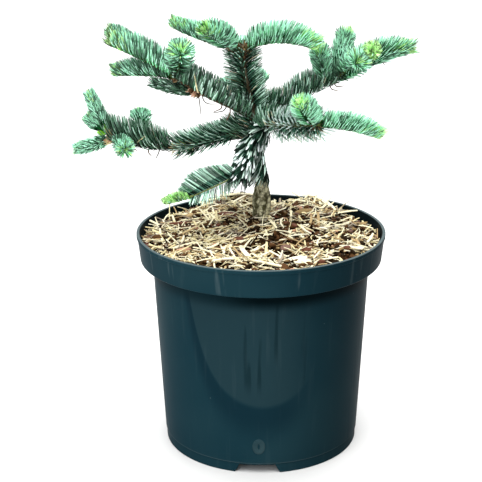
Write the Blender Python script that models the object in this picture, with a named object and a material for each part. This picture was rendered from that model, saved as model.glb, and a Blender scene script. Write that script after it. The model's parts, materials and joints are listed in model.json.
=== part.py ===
"""A young noble fir in a round nursery pot: pot, potting mix, trunk, boughs and masses of needles.

Metres, +Z up. The origin is the middle of the pot's underside. -Y faces the front of the plant,
where the longest low bough hangs and the pot has one of its drainage notches.
"""

import math
import random
from dataclasses import dataclass

import bmesh
import bpy
import numpy as np
from mathutils import Matrix, Vector

MM = 0.001
CLEARANCE = 0.3 * MM
SEED = 8
EAST = Vector((1, 0, 0))
NORTH = Vector((0, 1, 0))
ZENITH = Vector((0, 0, 1))

# Pot: a 3 litre container, 190 mm across its rim.
RIM_RADIUS = 95.0 * MM
POT_HEIGHT = 168.6 * MM
BAND_HEIGHT = 21.6 * MM
BAND_FOOT_RADIUS = 92.3 * MM
BODY_TOP_RADIUS = 83.2 * MM
BODY_FOOT_RADIUS = 75.9 * MM
SKIRT_RADIUS = 75.1 * MM
WALL = 1.6 * MM
FLOOR_LIFT = 8.0 * MM
LIP_HEIGHT = 3.2 * MM
LIP_PROUD = 0.7 * MM
LIP_ROUND = 0.7 * MM
LEDGE_ROUND = 1.4 * MM
SKIRT_BEVEL = 0.5 * MM
SKIRT_STEP = 0.3 * MM
CENTRE_FOOT_RADIUS = 18.0 * MM
BAND_FOOT = POT_HEIGHT - BAND_HEIGHT
FLOOR_TOP = FLOOR_LIFT + WALL
POT_SIDES = 48
CREASE = 40.0
NOTCH_COUNT = 3
NOTCH_FOOT_WIDTH = 34.0 * MM
NOTCH_TOP_WIDTH = 27.0 * MM
NOTCH_HEIGHT = 7.0 * MM
NOTCH_HEADING = -93.0
DRAIN_RADIUS = 5.0 * MM
DRAIN_OFFSET = 63.0 * MM
DRAIN_SIDES = 12
CUT_DEPTH = 12.0 * MM

# Potting mix: low at the wall, high round the trunk, heaped against the back of the rim.
# Heaps: place to the right and to the back, spread, height, all in millimetres.
MIX_GAP = 2 * CLEARANCE
MIX_EDGE_HEIGHT = 164.3 * MM
MIX_RINGS = 6
MIX_LUMP = 0.9 * MM
MIX_HEAPS = (
    (3.0, 22.0, 38.0, 8.0),
    (-22.0, 86.0, 17.0, 5.0),
    (42.0, 80.0, 20.0, 5.0),
)
FOOT_PATCH_RADIUS = 12.0 * MM

# Trunk: height above the ground, sideways and backward offset, radius, all in millimetres.
TRUNK_SIDES = 12
LIMB_CREASE = 60.0
TRUNK_STATIONS = (
    (172.9, -0.1, 16.0, 6.2),
    (180.0, 0.7, 16.0, 7.0),
    (187.0, 0.9, 16.0, 7.4),
    (194.0, 1.2, 16.0, 6.6),
    (201.0, 1.2, 15.7, 4.8),
    (215.0, -0.2, 15.2, 4.1),
    (230.0, -1.9, 14.6, 3.9),
    (246.0, -3.6, 14.0, 4.1),
    (257.0, -5.6, 13.8, 3.6),
    (274.0, -9.8, 12.5, 3.1),
    (290.0, -12.6, 11.5, 2.7),
    (308.5, -13.9, 11.0, 2.4),
)

# Boughs and twigs.
BOUGH_SIDES = 8
BOUGH_FOOT_RADIUS = 2.7 * MM
BOUGH_TIP_RADIUS = 2.3 * MM
CORE_SIDES = 4
CORE_STEP = 12.0 * MM
STEM_RADIUS = 2.3 * MM
TWIG_RADIUS = 2.0 * MM
CORE_TIP_RADIUS = 1.0 * MM
CORE_TAPER = 0.85
SLEEVE_FOOT = 264.0 * MM
SLEEVE_TOP = 297.0 * MM
SLEEVE_THICKNESS = 1.5 * MM

# Needles: fewer and stouter than life.
NEEDLE_SPACING = 1.7 * MM
LEADER_SPACING = 0.9 * MM
NEEDLE_START = 2.5 * MM
NEEDLE_LENGTH = 15.0 * MM
NEEDLE_LENGTH_SPREAD = (0.88, 1.08)
NEEDLE_WIDTH = 2.3 * MM
NEEDLE_THICKNESS = 1.3 * MM
NEEDLE_FAN = 125.0
NEEDLE_LEAN_FOOT = 66.0
NEEDLE_LEAN_TIP = 30.0
NEEDLE_LIFT = 0.22
NEEDLE_ROOT_DEPTH = 0.6 * MM
LAST_NEEDLE = 0.985
TIP_NEEDLES = 4
TIP_NEEDLE_SCALE = 0.72
CARRYING_END = 0.9
LEADER_NEEDLE_FAN = 180.0
GOLDEN_SHARE = 0.6180339887
NEEDLES_APART = 2.6 * MM
SPACE_MARGIN = 3.0 * MM
LIMB_MARGIN = 1.8 * MM
SPACE_STEP = 3.0 * MM
POT_MARGIN = 5.0 * MM
TRIED_SHARES = (0.35, 0.6, 0.8, 1.0)


@dataclass(frozen=True)
class Twig:
    """One needle-bearing axis, in millimetres and degrees. Heading 0 is +X, 90 is +Y."""

    name: str
    leaves: str
    at: float
    length: float
    heading: float
    rise: float
    bend: float = 0.0
    swing: float = 0.0
    needle: float = 1.0


@dataclass(frozen=True)
class Bough:
    """A limb and the mass of needles that goes on from its tip. With no length, the mass is on the trunk."""

    name: str
    height: float
    length: float
    twigs: tuple[Twig, ...]


BOUGHS = (
    Bough("left_upper", 254, 17, (
        Twig("stem", "", 1.0, 62, -148, 30, bend=8, needle=1.15),
        Twig("outer", "stem", 1.0, 53, -152, 28, bend=-8),
        Twig("outer_side", "outer", 0.55, 26, 147, 28),
        Twig("level", "stem", 0.97, 40, -177, 4, bend=-14),
        Twig("front", "stem", 0.95, 34, -80, 37, bend=10),
        Twig("low", "stem", 0.58, 34, 162, 6, bend=8, needle=0.85),
    )),
    Bough("left_middle", 248, 16, (
        Twig("inner", "", 1.0, 44, 177, -18, bend=10, needle=1.1),
        Twig("outer", "inner", 1.0, 54, 177, 9, bend=14, needle=1.1),
        Twig("tall", "outer", 1.0, 32, 165, 64, bend=6, needle=0.8),
        Twig("fan", "outer", 0.97, 26, -128, 36),
        Twig("flat", "outer", 0.98, 26, -164, -14, bend=10),
        Twig("front", "outer", 0.95, 27, -70, -3, bend=-8, needle=0.85),
        Twig("crest", "outer", 0.45, 24, -92, 57),
    )),
    Bough("front", 243, 14, (
        Twig("stem", "", 1.0, 31, -116, -31, bend=-4, needle=1.3),
        Twig("middle", "stem", 1.0, 42, -153, -21, bend=8, needle=1.1),
        Twig("tip", "middle", 0.97, 17, -157, -6, needle=0.75),
    )),
    Bough("right_upper", 254, 16, (
        Twig("stem", "", 1.0, 51, 8, 23, bend=4, needle=1.15),
        Twig("outer", "stem", 0.98, 59, 4, 22, bend=4),
        Twig("crest", "stem", 0.97, 25, 68, 69),
        Twig("front", "stem", 0.96, 35, -71, 29),
        Twig("outer_front", "outer", 0.3, 30, -78, 33, needle=0.7),
        Twig("back_lean", "stem", 0.75, 25, -128, 58),
    )),
    Bough("right_lower", 249, 17, (
        Twig("stem", "", 1.0, 55, -52, 10, bend=6, needle=1.2),
        Twig("inner", "stem", 0.98, 35, -120, 41, bend=6),
        Twig("outer", "stem", 1.0, 43, -17, -3, bend=-16),
    )),
    Bough("back_upper", 252, 15, (
        Twig("stem", "", 1.0, 40, 97, 17, bend=6),
        Twig("left", "stem", 0.6, 24, 140, 4, needle=0.8),
        Twig("right", "stem", 0.75, 22, 58, 12, needle=0.8),
    )),
    Bough("back_right", 246, 16, (
        Twig("stem", "", 1.0, 48, 56, -7, bend=6),
        Twig("left", "stem", 0.55, 26, 98, 2, needle=0.9),
        Twig("right", "stem", 0.7, 20, 22, -2, needle=0.8),
    )),
    Bough("back_left", 240, 15, (
        Twig("stem", "", 1.0, 42, 130, -14, bend=6),
        Twig("left", "stem", 0.6, 22, 168, -8, needle=0.8),
        Twig("right", "stem", 0.6, 26, 92, -8, needle=0.9),
    )),
    Bough("top_left", 305.5, 0, (
        Twig("back", "", 0.0, 53, -168, 21, bend=16),
        Twig("front", "back", 0.1, 44, -122, 22, bend=-10),
    )),
    Bough("top_right", 304.5, 0, (
        Twig("arch", "", 0.0, 53, -21, 8, bend=-26),
    )),
    Bough("top_back", 304.0, 0, (
        Twig("stem", "", 0.0, 40, 88, -3, bend=-6),
    )),
)


def clear_scene():
    for old in list(bpy.data.objects):
        bpy.data.objects.remove(old, do_unlink=True)


def material(name, color, roughness):
    made = bpy.data.materials.new(name)
    made.use_nodes = True
    shader = made.node_tree.nodes["Principled BSDF"]
    shader.inputs["Base Color"].default_value = (*color, 1.0)
    shader.inputs["Roughness"].default_value = roughness
    shader.inputs["Metallic"].default_value = 0.0
    return made


def new_object(name, bm, finish):
    bmesh.ops.recalc_face_normals(bm, faces=bm.faces)
    mesh = bpy.data.meshes.new(name)
    bm.to_mesh(mesh)
    bm.free()
    mesh.materials.append(finish)
    made = bpy.data.objects.new(name, mesh)
    bpy.context.scene.collection.objects.link(made)
    return made


def evaluated_mesh(item):
    bpy.context.view_layer.update()
    graph = bpy.context.evaluated_depsgraph_get()
    return bpy.data.meshes.new_from_object(item.evaluated_get(graph))


def shells(bm):
    """The mesh's separate closed shells, as lists of faces."""
    left = set(bm.faces)
    found = []
    while left:
        shell, edge_of_search = [], [left.pop()]
        while edge_of_search:
            face = edge_of_search.pop()
            shell.append(face)
            near = {other for edge in face.edges for other in edge.link_faces} & left
            left -= near
            edge_of_search.extend(near)
        found.append(shell)
    return found


def keep_outer_shell(mesh):
    """Fills hollows that fusing sealed and drops loose scraps: only the largest shell stays."""
    bm = bmesh.new()
    bm.from_mesh(mesh)
    parts = sorted(shells(bm), key=lambda shell: sum(face.calc_area() for face in shell))
    for shell in parts[:-1]:
        bmesh.ops.delete(bm, geom=shell, context="FACES")
    bm.to_mesh(mesh)
    bm.free()


def fused(name, first, others, operation, finish):
    """One Boolean of a collection on the first object, applied, with the collection then removed."""
    group = bpy.data.collections.new(f"{name}_pieces")
    bpy.context.scene.collection.children.link(group)
    for other in others:
        bpy.context.scene.collection.objects.unlink(other)
        group.objects.link(other)
    boolean = first.modifiers.new("fuse", "BOOLEAN")
    boolean.operation = operation
    boolean.operand_type = "COLLECTION"
    boolean.collection = group
    mesh = evaluated_mesh(first)
    for other in [first, *others]:
        bpy.data.objects.remove(other, do_unlink=True)
    bpy.data.collections.remove(group)
    keep_outer_shell(mesh)
    mesh.materials.clear()
    mesh.materials.append(finish)
    mesh.name = name
    made = bpy.data.objects.new(name, mesh)
    bpy.context.scene.collection.objects.link(made)
    return made


def turned(name, profile, sides, finish):
    """A closed profile of (radius, height) points spun round the Z axis."""
    bm = bmesh.new()
    corners = [bm.verts.new((radius, 0.0, height)) for radius, height in profile]
    rim = [bm.edges.new(pair) for pair in zip(corners, corners[1:])]
    bmesh.ops.spin(
        bm,
        geom=corners + rim,
        cent=(0, 0, 0),
        axis=(0, 0, 1),
        angle=2 * math.pi,
        steps=sides,
        use_merge=True,
    )
    bmesh.ops.remove_doubles(bm, verts=bm.verts, dist=1e-6)
    return new_object(name, bm, finish)


def rings_mesh(rings):
    """A closed tube through rings of points, with flat ends."""
    bm = bmesh.new()
    loops = [[bm.verts.new(point) for point in ring] for ring in rings]
    for low, high in zip(loops, loops[1:]):
        for here, there in zip(range(len(low)), [*range(1, len(low)), 0]):
            bm.faces.new((low[here], low[there], high[there], high[here]))
    bm.faces.new(loops[0][::-1])
    bm.faces.new(loops[-1])
    return bm


def ring(centre, across, up, radius, sides):
    turns = [2 * math.pi * side / sides for side in range(sides)]
    return [centre + radius * (math.cos(turn) * across + math.sin(turn) * up) for turn in turns]


def shade(item, angle):
    """Smooth shading, with edges sharper than the angle left hard."""
    item.data.shade_smooth()
    item.data.set_sharp_from_angle(angle=math.radians(angle))


def inner_wall():
    """The pot's inner side from the corner of its floor to the top of its lip."""
    return [
        (SKIRT_RADIUS - WALL, FLOOR_TOP),
        (BODY_TOP_RADIUS - WALL, BAND_FOOT + WALL - LEDGE_ROUND),
        (BAND_FOOT_RADIUS - WALL, BAND_FOOT + WALL),
        (RIM_RADIUS - LIP_PROUD - WALL, POT_HEIGHT),
    ]


def pot_profile():
    """Outer side of the pot from its middle foot, up the wall and round the lip, then down inside."""
    lip_foot = POT_HEIGHT - LIP_HEIGHT
    return [
        (0.0, 0.0),
        (CENTRE_FOOT_RADIUS, 0.0),
        (CENTRE_FOOT_RADIUS, FLOOR_LIFT),
        (SKIRT_RADIUS - WALL, FLOOR_LIFT),
        (SKIRT_RADIUS - WALL, 0.0),
        (SKIRT_RADIUS - SKIRT_BEVEL, 0.0),
        (SKIRT_RADIUS, SKIRT_BEVEL),
        (SKIRT_RADIUS, FLOOR_LIFT - SKIRT_STEP),
        (BODY_FOOT_RADIUS, FLOOR_LIFT + SKIRT_STEP),
        (BODY_TOP_RADIUS, BAND_FOOT - LEDGE_ROUND),
        (BODY_TOP_RADIUS + LEDGE_ROUND, BAND_FOOT),
        (BAND_FOOT_RADIUS - LEDGE_ROUND, BAND_FOOT),
        (BAND_FOOT_RADIUS, BAND_FOOT + LEDGE_ROUND),
        (RIM_RADIUS - LIP_PROUD, lip_foot),
        (RIM_RADIUS, lip_foot + LIP_ROUND),
        (RIM_RADIUS, POT_HEIGHT - LIP_ROUND),
        (RIM_RADIUS - LIP_ROUND, POT_HEIGHT),
        *reversed(inner_wall()),
        (0.0, FLOOR_TOP),
    ]


def notch_cutter(heading, finish):
    """A wedge of the drainage notch's outline, reaching through the skirt."""
    half_foot, half_top = NOTCH_FOOT_WIDTH / 2, NOTCH_TOP_WIDTH / 2
    outline = [
        (-half_foot, -NOTCH_HEIGHT),
        (half_foot, -NOTCH_HEIGHT),
        (half_foot, 0.0),
        (half_top, NOTCH_HEIGHT),
        (-half_top, NOTCH_HEIGHT),
        (-half_foot, 0.0),
    ]
    reaches = (SKIRT_RADIUS - CUT_DEPTH, SKIRT_RADIUS + CUT_DEPTH)
    bm = rings_mesh([[Vector((reach, wide, high)) for wide, high in outline] for reach in reaches])
    bmesh.ops.rotate(bm, verts=bm.verts, matrix=Matrix.Rotation(math.radians(heading), 3, "Z"))
    return new_object("notch", bm, finish)


def drain_cutter(heading, finish):
    """A rod as wide as a drainage hole, reaching through the floor."""
    bm = bmesh.new()
    turn = Matrix.Rotation(math.radians(heading), 4, "Z")
    centre = turn @ Matrix.Translation((DRAIN_OFFSET, 0, FLOOR_LIFT))
    bmesh.ops.create_cone(
        bm,
        cap_ends=True,
        segments=DRAIN_SIDES,
        radius1=DRAIN_RADIUS,
        radius2=DRAIN_RADIUS,
        depth=CUT_DEPTH,
        matrix=centre,
    )
    return new_object("drain", bm, finish)


def make_pot(finish):
    shell = turned("pot_shell", pot_profile(), POT_SIDES, finish)
    headings = [NOTCH_HEADING + 360.0 * index / NOTCH_COUNT for index in range(NOTCH_COUNT)]
    cutters = [notch_cutter(heading, finish) for heading in headings]
    cutters += [drain_cutter(heading, finish) for heading in headings]
    shade(fused("pot", shell, cutters, "DIFFERENCE", finish), CREASE)


def mix_height(x, y):
    """Height of the potting mix's surface over a point of the ground."""
    height = MIX_EDGE_HEIGHT
    for right, back, spread, rise in MIX_HEAPS:
        distance = (x - right * MM) ** 2 + (y - back * MM) ** 2
        height += rise * MM * math.exp(-distance / (2 * (spread * MM) ** 2))
    return height


def mix_side():
    """The pot's inner side from the floor to the mix's edge, a gap inside it."""
    wall = inner_wall()
    (low_radius, low), (high_radius, high) = wall[2:]
    edge_radius = low_radius + (MIX_EDGE_HEIGHT - low) / (high - low) * (high_radius - low_radius)
    side = [(radius - MIX_GAP, height + MIX_GAP) for radius, height in wall[:3]]
    return [*side, (edge_radius - MIX_GAP, MIX_EDGE_HEIGHT)]


def make_mix(finish):
    """The mix: its side, a lumpy top drawn in from the wall, and a flat patch under the trunk."""
    wander = random.Random(SEED)
    side = mix_side()
    foot = Vector((TRUNK_STATIONS[0][1] * MM, TRUNK_STATIONS[0][2] * MM, 0))
    rings = [ring(high * ZENITH, EAST, NORTH, wide, POT_SIDES) for wide, high in side[:3]]
    edge_radius = side[3][0]
    for index in range(MIX_RINGS):
        share = index / MIX_RINGS
        radius = edge_radius + share * (FOOT_PATCH_RADIUS - edge_radius)
        loop = ring(foot * share, EAST, NORTH, radius, POT_SIDES)
        lump = MIX_LUMP if index else 0.0
        for point in loop:
            point.z = mix_height(point.x, point.y) + wander.uniform(-lump, lump)
        rings.append(loop)
    patch_height = TRUNK_STATIONS[0][0] * MM - CLEARANCE
    rings.append(ring(foot + patch_height * ZENITH, EAST, NORTH, FOOT_PATCH_RADIUS, POT_SIDES))
    shade(new_object("potting_mix", rings_mesh(rings), finish), LIMB_CREASE)


def steps_between(first, last, count):
    return [first + (last - first) * index / (count - 1) for index in range(count)]


def trunk_at(height):
    """Middle and radius of the trunk at a height above the ground."""
    columns = np.array(TRUNK_STATIONS) * MM
    x, y, radius = (float(np.interp(height, columns[:, 0], columns[:, part])) for part in (1, 2, 3))
    return Vector((x, y, height)), radius


def trunk_rings(low, high, grown):
    """Level rings round the trunk between two heights, its own radius grown by a given amount."""
    inside = [row[0] * MM for row in TRUNK_STATIONS if low < row[0] * MM < high]
    widest = grown / math.cos(math.pi / TRUNK_SIDES)
    rings = []
    for height in [low, *inside, high]:
        middle, radius = trunk_at(height)
        rings.append(ring(middle, EAST, NORTH, radius + widest, TRUNK_SIDES))
    return rings


def make_trunk(finish):
    low, high = TRUNK_STATIONS[0][0] * MM, TRUNK_STATIONS[-1][0] * MM
    shade(new_object("trunk", rings_mesh(trunk_rings(low, high, 0.0)), finish), LIMB_CREASE)


def trunk_cutter(finish):
    """The trunk grown by the clearance and run on past both ends."""
    low, high = TRUNK_STATIONS[0][0] * MM, TRUNK_STATIONS[-1][0] * MM
    rings = trunk_rings(low, high, CLEARANCE)
    rings.append([point + CLEARANCE * ZENITH for point in rings[-1]])
    return new_object("trunk_space", rings_mesh(rings), finish)


def direction(heading, rise):
    """Unit vector of a heading round the compass and a rise above the level, in degrees."""
    turn, tilt = math.radians(heading), math.radians(rise)
    level = math.cos(turn) * EAST + math.sin(turn) * NORTH
    return math.cos(tilt) * level + math.sin(tilt) * ZENITH


def course(start, length, heading, rise, bend=0.0, swing=0.0):
    """Points along an axis that leaves start and turns evenly by bend and swing over its length."""
    steps = max(2, round(length / CORE_STEP))
    points = [start]
    for step in range(steps):
        share = (step + 0.5) / steps - 0.5
        aim = direction(heading + swing * share, rise + bend * share)
        points.append(points[-1] + length / steps * aim)
    return points


def point_on(points, share):
    place = min(max(share, 0.0), 1.0) * (len(points) - 1)
    first = min(int(place), len(points) - 2)
    along = points[first + 1] - points[first]
    return points[first] + (place - first) * along, along.normalized()


def frame_on(points, share):
    """Point, tangent, upward normal and sideways normal of an axis."""
    point, along = point_on(points, share)
    up = (ZENITH - along.z * along).normalized()
    return point, along, up, along.cross(up)


def limb(name, points, radii, sides, finish):
    """A tapering tube along an axis."""
    rings = []
    for index, radius in enumerate(radii):
        point, _, up, across = frame_on(points, index / (len(radii) - 1))
        rings.append(ring(point, across, up, radius, sides))
    return new_object(name, rings_mesh(rings), finish)


def bough_course(bough):
    """Axis of a bough from the middle of the trunk to the bough's tip."""
    start, _ = trunk_at(bough.height * MM)
    first = bough.twigs[0]
    heading = first.heading - first.swing / 2
    return course(start, bough.length * MM, heading, first.rise - first.bend / 2)


def twig_courses(bough):
    """Axis of each twig of a bough's mass, by name."""
    if bough.length:
        tip, along = point_on(bough_course(bough), 1.0)
        first_start = tip + CLEARANCE * along
    else:
        first_start, _ = trunk_at(bough.height * MM)
    courses = {}
    for twig in bough.twigs:
        start = point_on(courses[twig.leaves], twig.at)[0] if twig.leaves else first_start
        aim = (twig.heading, twig.rise, twig.bend, twig.swing)
        courses[twig.name] = course(start, twig.length * MM, *aim)
    return courses


def spaced(points, step):
    """Points of an axis, close together, as an array."""
    length = sum((b - a).length for a, b in zip(points, points[1:]))
    count = max(2, round(length / step))
    return np.array([point_on(points, index / count)[0] for index in range(count + 1)])


def leader_course():
    return [trunk_at(height)[0] for height in steps_between(SLEEVE_FOOT, SLEEVE_TOP, 6)]


def spaces():
    """Axis points of each mass, by name: a needle stays nearest to its own."""
    found = {"leader": spaced(leader_course(), SPACE_STEP)}
    for bough in BOUGHS:
        axes = [spaced(axis, SPACE_STEP) for axis in twig_courses(bough).values()]
        found[bough.name] = np.concatenate(axes)
    return found


def limbs():
    """Points of the trunk's and the boughs' axes with the radius there."""
    rows = []
    for height in np.arange(TRUNK_STATIONS[0][0] * MM, TRUNK_STATIONS[-1][0] * MM, SPACE_STEP):
        middle, radius = trunk_at(height)
        rows.append((*middle, radius))
    for bough in BOUGHS:
        if bough.length:
            rows += [(*point, BOUGH_FOOT_RADIUS) for point in spaced(bough_course(bough), SPACE_STEP)]
    return np.array(rows)


class Room:
    """Says whether a needle keeps to its mass's space and clear of limbs, pot and potting mix."""

    def __init__(self):
        self.spaces = spaces()
        self.limbs = limbs()
        self.placed = {name: np.empty((0, 3)) for name in self.spaces}

    def allows(self, name, root, tip):
        shares = np.array(TRIED_SHARES)[:, None]
        points = np.array(root) * (1 - shares) + np.array(tip) * shares
        placed = self.placed[name]
        if len(placed) and (self.reach(points, placed) < NEEDLES_APART).any():
            return False
        own = self.reach(points, self.spaces[name])
        for other, space in self.spaces.items():
            if other != name and (self.reach(points, space) < own + SPACE_MARGIN).any():
                return False
        away = np.linalg.norm(points[:, None] - self.limbs[None, :, :3], axis=2) - self.limbs[:, 3]
        if (away < LIMB_MARGIN).any():
            return False
        across = np.hypot(points[:, 0], points[:, 1])
        if ((across < RIM_RADIUS + POT_MARGIN) & (points[:, 2] < POT_HEIGHT + POT_MARGIN)).any():
            return False
        self.placed[name] = np.concatenate([placed, points])
        return True

    @staticmethod
    def reach(points, space):
        """Distance from each point to the nearest point of a space."""
        return np.linalg.norm(points[:, None] - space[None], axis=2).min(axis=1)


def spike_mesh(finish):
    """A needle of unit length, width and thickness: a three-sided spike along +Z."""
    bm = bmesh.new()
    bmesh.ops.create_cone(
        bm,
        cap_ends=True,
        segments=3,
        radius1=0.5,
        radius2=0.0,
        depth=1.0,
        matrix=Matrix.Translation((0, 0, 0.5)),
    )
    bmesh.ops.recalc_face_normals(bm, faces=bm.faces)
    mesh = bpy.data.meshes.new("needle")
    bm.to_mesh(mesh)
    bm.free()
    mesh.materials.append(finish)
    return mesh


def needle_object(spike, root, along, reach, face):
    """A needle from root along a direction, its flat side turned to face."""
    wide = along.cross(face).normalized()
    flat = along.cross(wide)
    turned_axes = Matrix((wide * NEEDLE_WIDTH, flat * NEEDLE_THICKNESS, along * reach)).transposed()
    made = bpy.data.objects.new("needle", spike)
    made.matrix_world = Matrix.Translation(root) @ turned_axes.to_4x4()
    bpy.context.scene.collection.objects.link(made)
    return made


@dataclass(frozen=True)
class Coat:
    """How needles stand on an axis: their size, fan, root depth, spacing and the extra ones at its tip."""

    scale: float
    fan: float
    sunk: float
    spacing: float
    tip_needles: int


def needles_on(name, points, coat, room, wander, spike):
    """Needles along an axis, swept up and forward and closing on its tip."""
    length = sum((b - a).length for a, b in zip(points, points[1:]))
    bare = NEEDLE_START / length
    count = round((length - NEEDLE_START) / coat.spacing)
    made = []
    for index in range(count + coat.tip_needles):
        share = min(bare + (1 - bare) * index / count, LAST_NEEDLE)
        point, along, up, across = frame_on(points, share)
        turn = math.radians(coat.fan * (2 * ((index * GOLDEN_SHARE) % 1.0) - 1))
        lean = math.radians(NEEDLE_LEAN_FOOT + share**2 * (NEEDLE_LEAN_TIP - NEEDLE_LEAN_FOOT))
        out = math.cos(turn) * up + math.sin(turn) * across
        aim = (math.cos(lean) * along + math.sin(lean) * out + NEEDLE_LIFT * ZENITH).normalized()
        reach = NEEDLE_LENGTH * coat.scale * wander.uniform(*NEEDLE_LENGTH_SPREAD)
        if index >= count - 1:
            reach *= TIP_NEEDLE_SCALE
        root = point + coat.sunk * out
        if room.allows(name, root, root + reach * aim):
            made.append(needle_object(spike, root, aim, reach, out))
    return made


def make_bough(bough, finish):
    points = bough_course(bough)
    radii = steps_between(BOUGH_FOOT_RADIUS, BOUGH_TIP_RADIUS, len(points))
    whole = limb("bough_core", points, radii, BOUGH_SIDES, finish)
    cut = fused(f"bough_{bough.name}", whole, [trunk_cutter(finish)], "DIFFERENCE", finish)
    shade(cut, LIMB_CREASE)


def core_radii(twig, points):
    foot = TWIG_RADIUS if twig.leaves else STEM_RADIUS
    return [*steps_between(foot, CORE_TAPER * foot, len(points) - 1), CORE_TIP_RADIUS]


def tip_needles_of(twig, twigs):
    """Extra needles close a twig's tip unless another twig goes on from it."""
    carries = any(other.leaves == twig.name and other.at >= CARRYING_END for other in twigs)
    return 0 if carries else TIP_NEEDLES


def make_mass(bough, room, wander, spike, finish):
    """A bough's needles and the cores that carry them, as one solid cut clear of the trunk."""
    name = f"needles_{bough.name}"
    courses = twig_courses(bough)
    cores, needles = [], []
    for twig in bough.twigs:
        points = courses[twig.name]
        cores.append(limb("core", points, core_radii(twig, points), CORE_SIDES, finish))
        extra = tip_needles_of(twig, bough.twigs)
        coat = Coat(twig.needle, NEEDLE_FAN, NEEDLE_ROOT_DEPTH, NEEDLE_SPACING, extra)
        needles += needles_on(bough.name, points, coat, room, wander, spike)
    first, *others = cores
    whole = fused(name, first, others + needles, "UNION", finish)
    if not bough.length:
        fused(name, whole, [trunk_cutter(finish)], "DIFFERENCE", finish)


def make_leader(room, wander, spike, finish):
    """The sleeve of needles round the upper trunk, cut clear of it."""
    rings = trunk_rings(SLEEVE_FOOT, SLEEVE_TOP, SLEEVE_THICKNESS + CLEARANCE)
    sleeve = new_object("sleeve", rings_mesh(rings), finish)
    _, root_depth = trunk_at(SLEEVE_FOOT)
    coat = Coat(1.0, LEADER_NEEDLE_FAN, root_depth, LEADER_SPACING, 0)
    needles = needles_on("leader", leader_course(), coat, room, wander, spike)
    whole = fused("needled_sleeve", sleeve, needles, "UNION", finish)
    fused("needles_leader", whole, [trunk_cutter(finish)], "DIFFERENCE", finish)


def main():
    clear_scene()
    bpy.context.scene.unit_settings.scale_length = 1.0
    plastic = material("pot_plastic", (0.022, 0.066, 0.086), 0.35)
    mix = material("wood_mulch", (0.42, 0.32, 0.19), 0.9)
    bark = material("bark", (0.17, 0.15, 0.075), 0.8)
    foliage = material("needles", (0.07, 0.28, 0.13), 0.5)
    make_pot(plastic)
    make_mix(mix)
    make_trunk(bark)
    room = Room()
    spike = spike_mesh(foliage)
    for bough in BOUGHS:
        if bough.length:
            make_bough(bough, bark)
    for index, bough in enumerate(BOUGHS):
        make_mass(bough, room, random.Random(SEED + index), spike, foliage)
    make_leader(room, random.Random(SEED + len(BOUGHS)), spike, foliage)


main()
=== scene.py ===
"""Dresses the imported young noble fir: fine pot, mulch, bark, twigs and needles.

Metres, +Z up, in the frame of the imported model: its origin is the middle of the pot's underside and
-Y faces the front of the plant. Tables of sizes and places are in millimetres and degrees.
"""

import json
import logging
import math
from collections.abc import Iterable, Sequence
from dataclasses import dataclass, field
from enum import Enum

import bmesh
import bpy
import numpy as np
from mathutils import Matrix, Vector

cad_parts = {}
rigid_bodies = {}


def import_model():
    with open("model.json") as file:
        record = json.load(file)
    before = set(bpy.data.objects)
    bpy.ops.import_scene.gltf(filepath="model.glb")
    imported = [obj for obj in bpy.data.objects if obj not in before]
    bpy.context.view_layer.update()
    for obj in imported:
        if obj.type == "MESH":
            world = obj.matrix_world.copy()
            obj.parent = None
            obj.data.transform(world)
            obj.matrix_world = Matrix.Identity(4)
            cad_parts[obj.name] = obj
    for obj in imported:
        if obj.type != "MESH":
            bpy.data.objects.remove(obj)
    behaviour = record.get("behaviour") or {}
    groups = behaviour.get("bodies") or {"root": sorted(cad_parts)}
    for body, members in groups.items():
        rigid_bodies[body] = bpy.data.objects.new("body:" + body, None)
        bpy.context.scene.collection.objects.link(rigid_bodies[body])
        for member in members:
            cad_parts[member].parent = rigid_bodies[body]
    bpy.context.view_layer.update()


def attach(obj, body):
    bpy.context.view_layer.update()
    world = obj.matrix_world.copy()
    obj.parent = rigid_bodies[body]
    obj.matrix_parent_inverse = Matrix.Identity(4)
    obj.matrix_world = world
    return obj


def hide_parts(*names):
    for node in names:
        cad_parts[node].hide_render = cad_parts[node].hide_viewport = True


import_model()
LOG = logging.getLogger("fir")

MM = 0.001
SEED = 8
GOLDEN_SHARE = 0.6180339887
EAST, NORTH, ZENITH = np.eye(3)
CRACKS = "groove"

Span = tuple[float, float]
Triple = tuple[float, float, float]
Color = Triple


# Shader expressions


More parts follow.
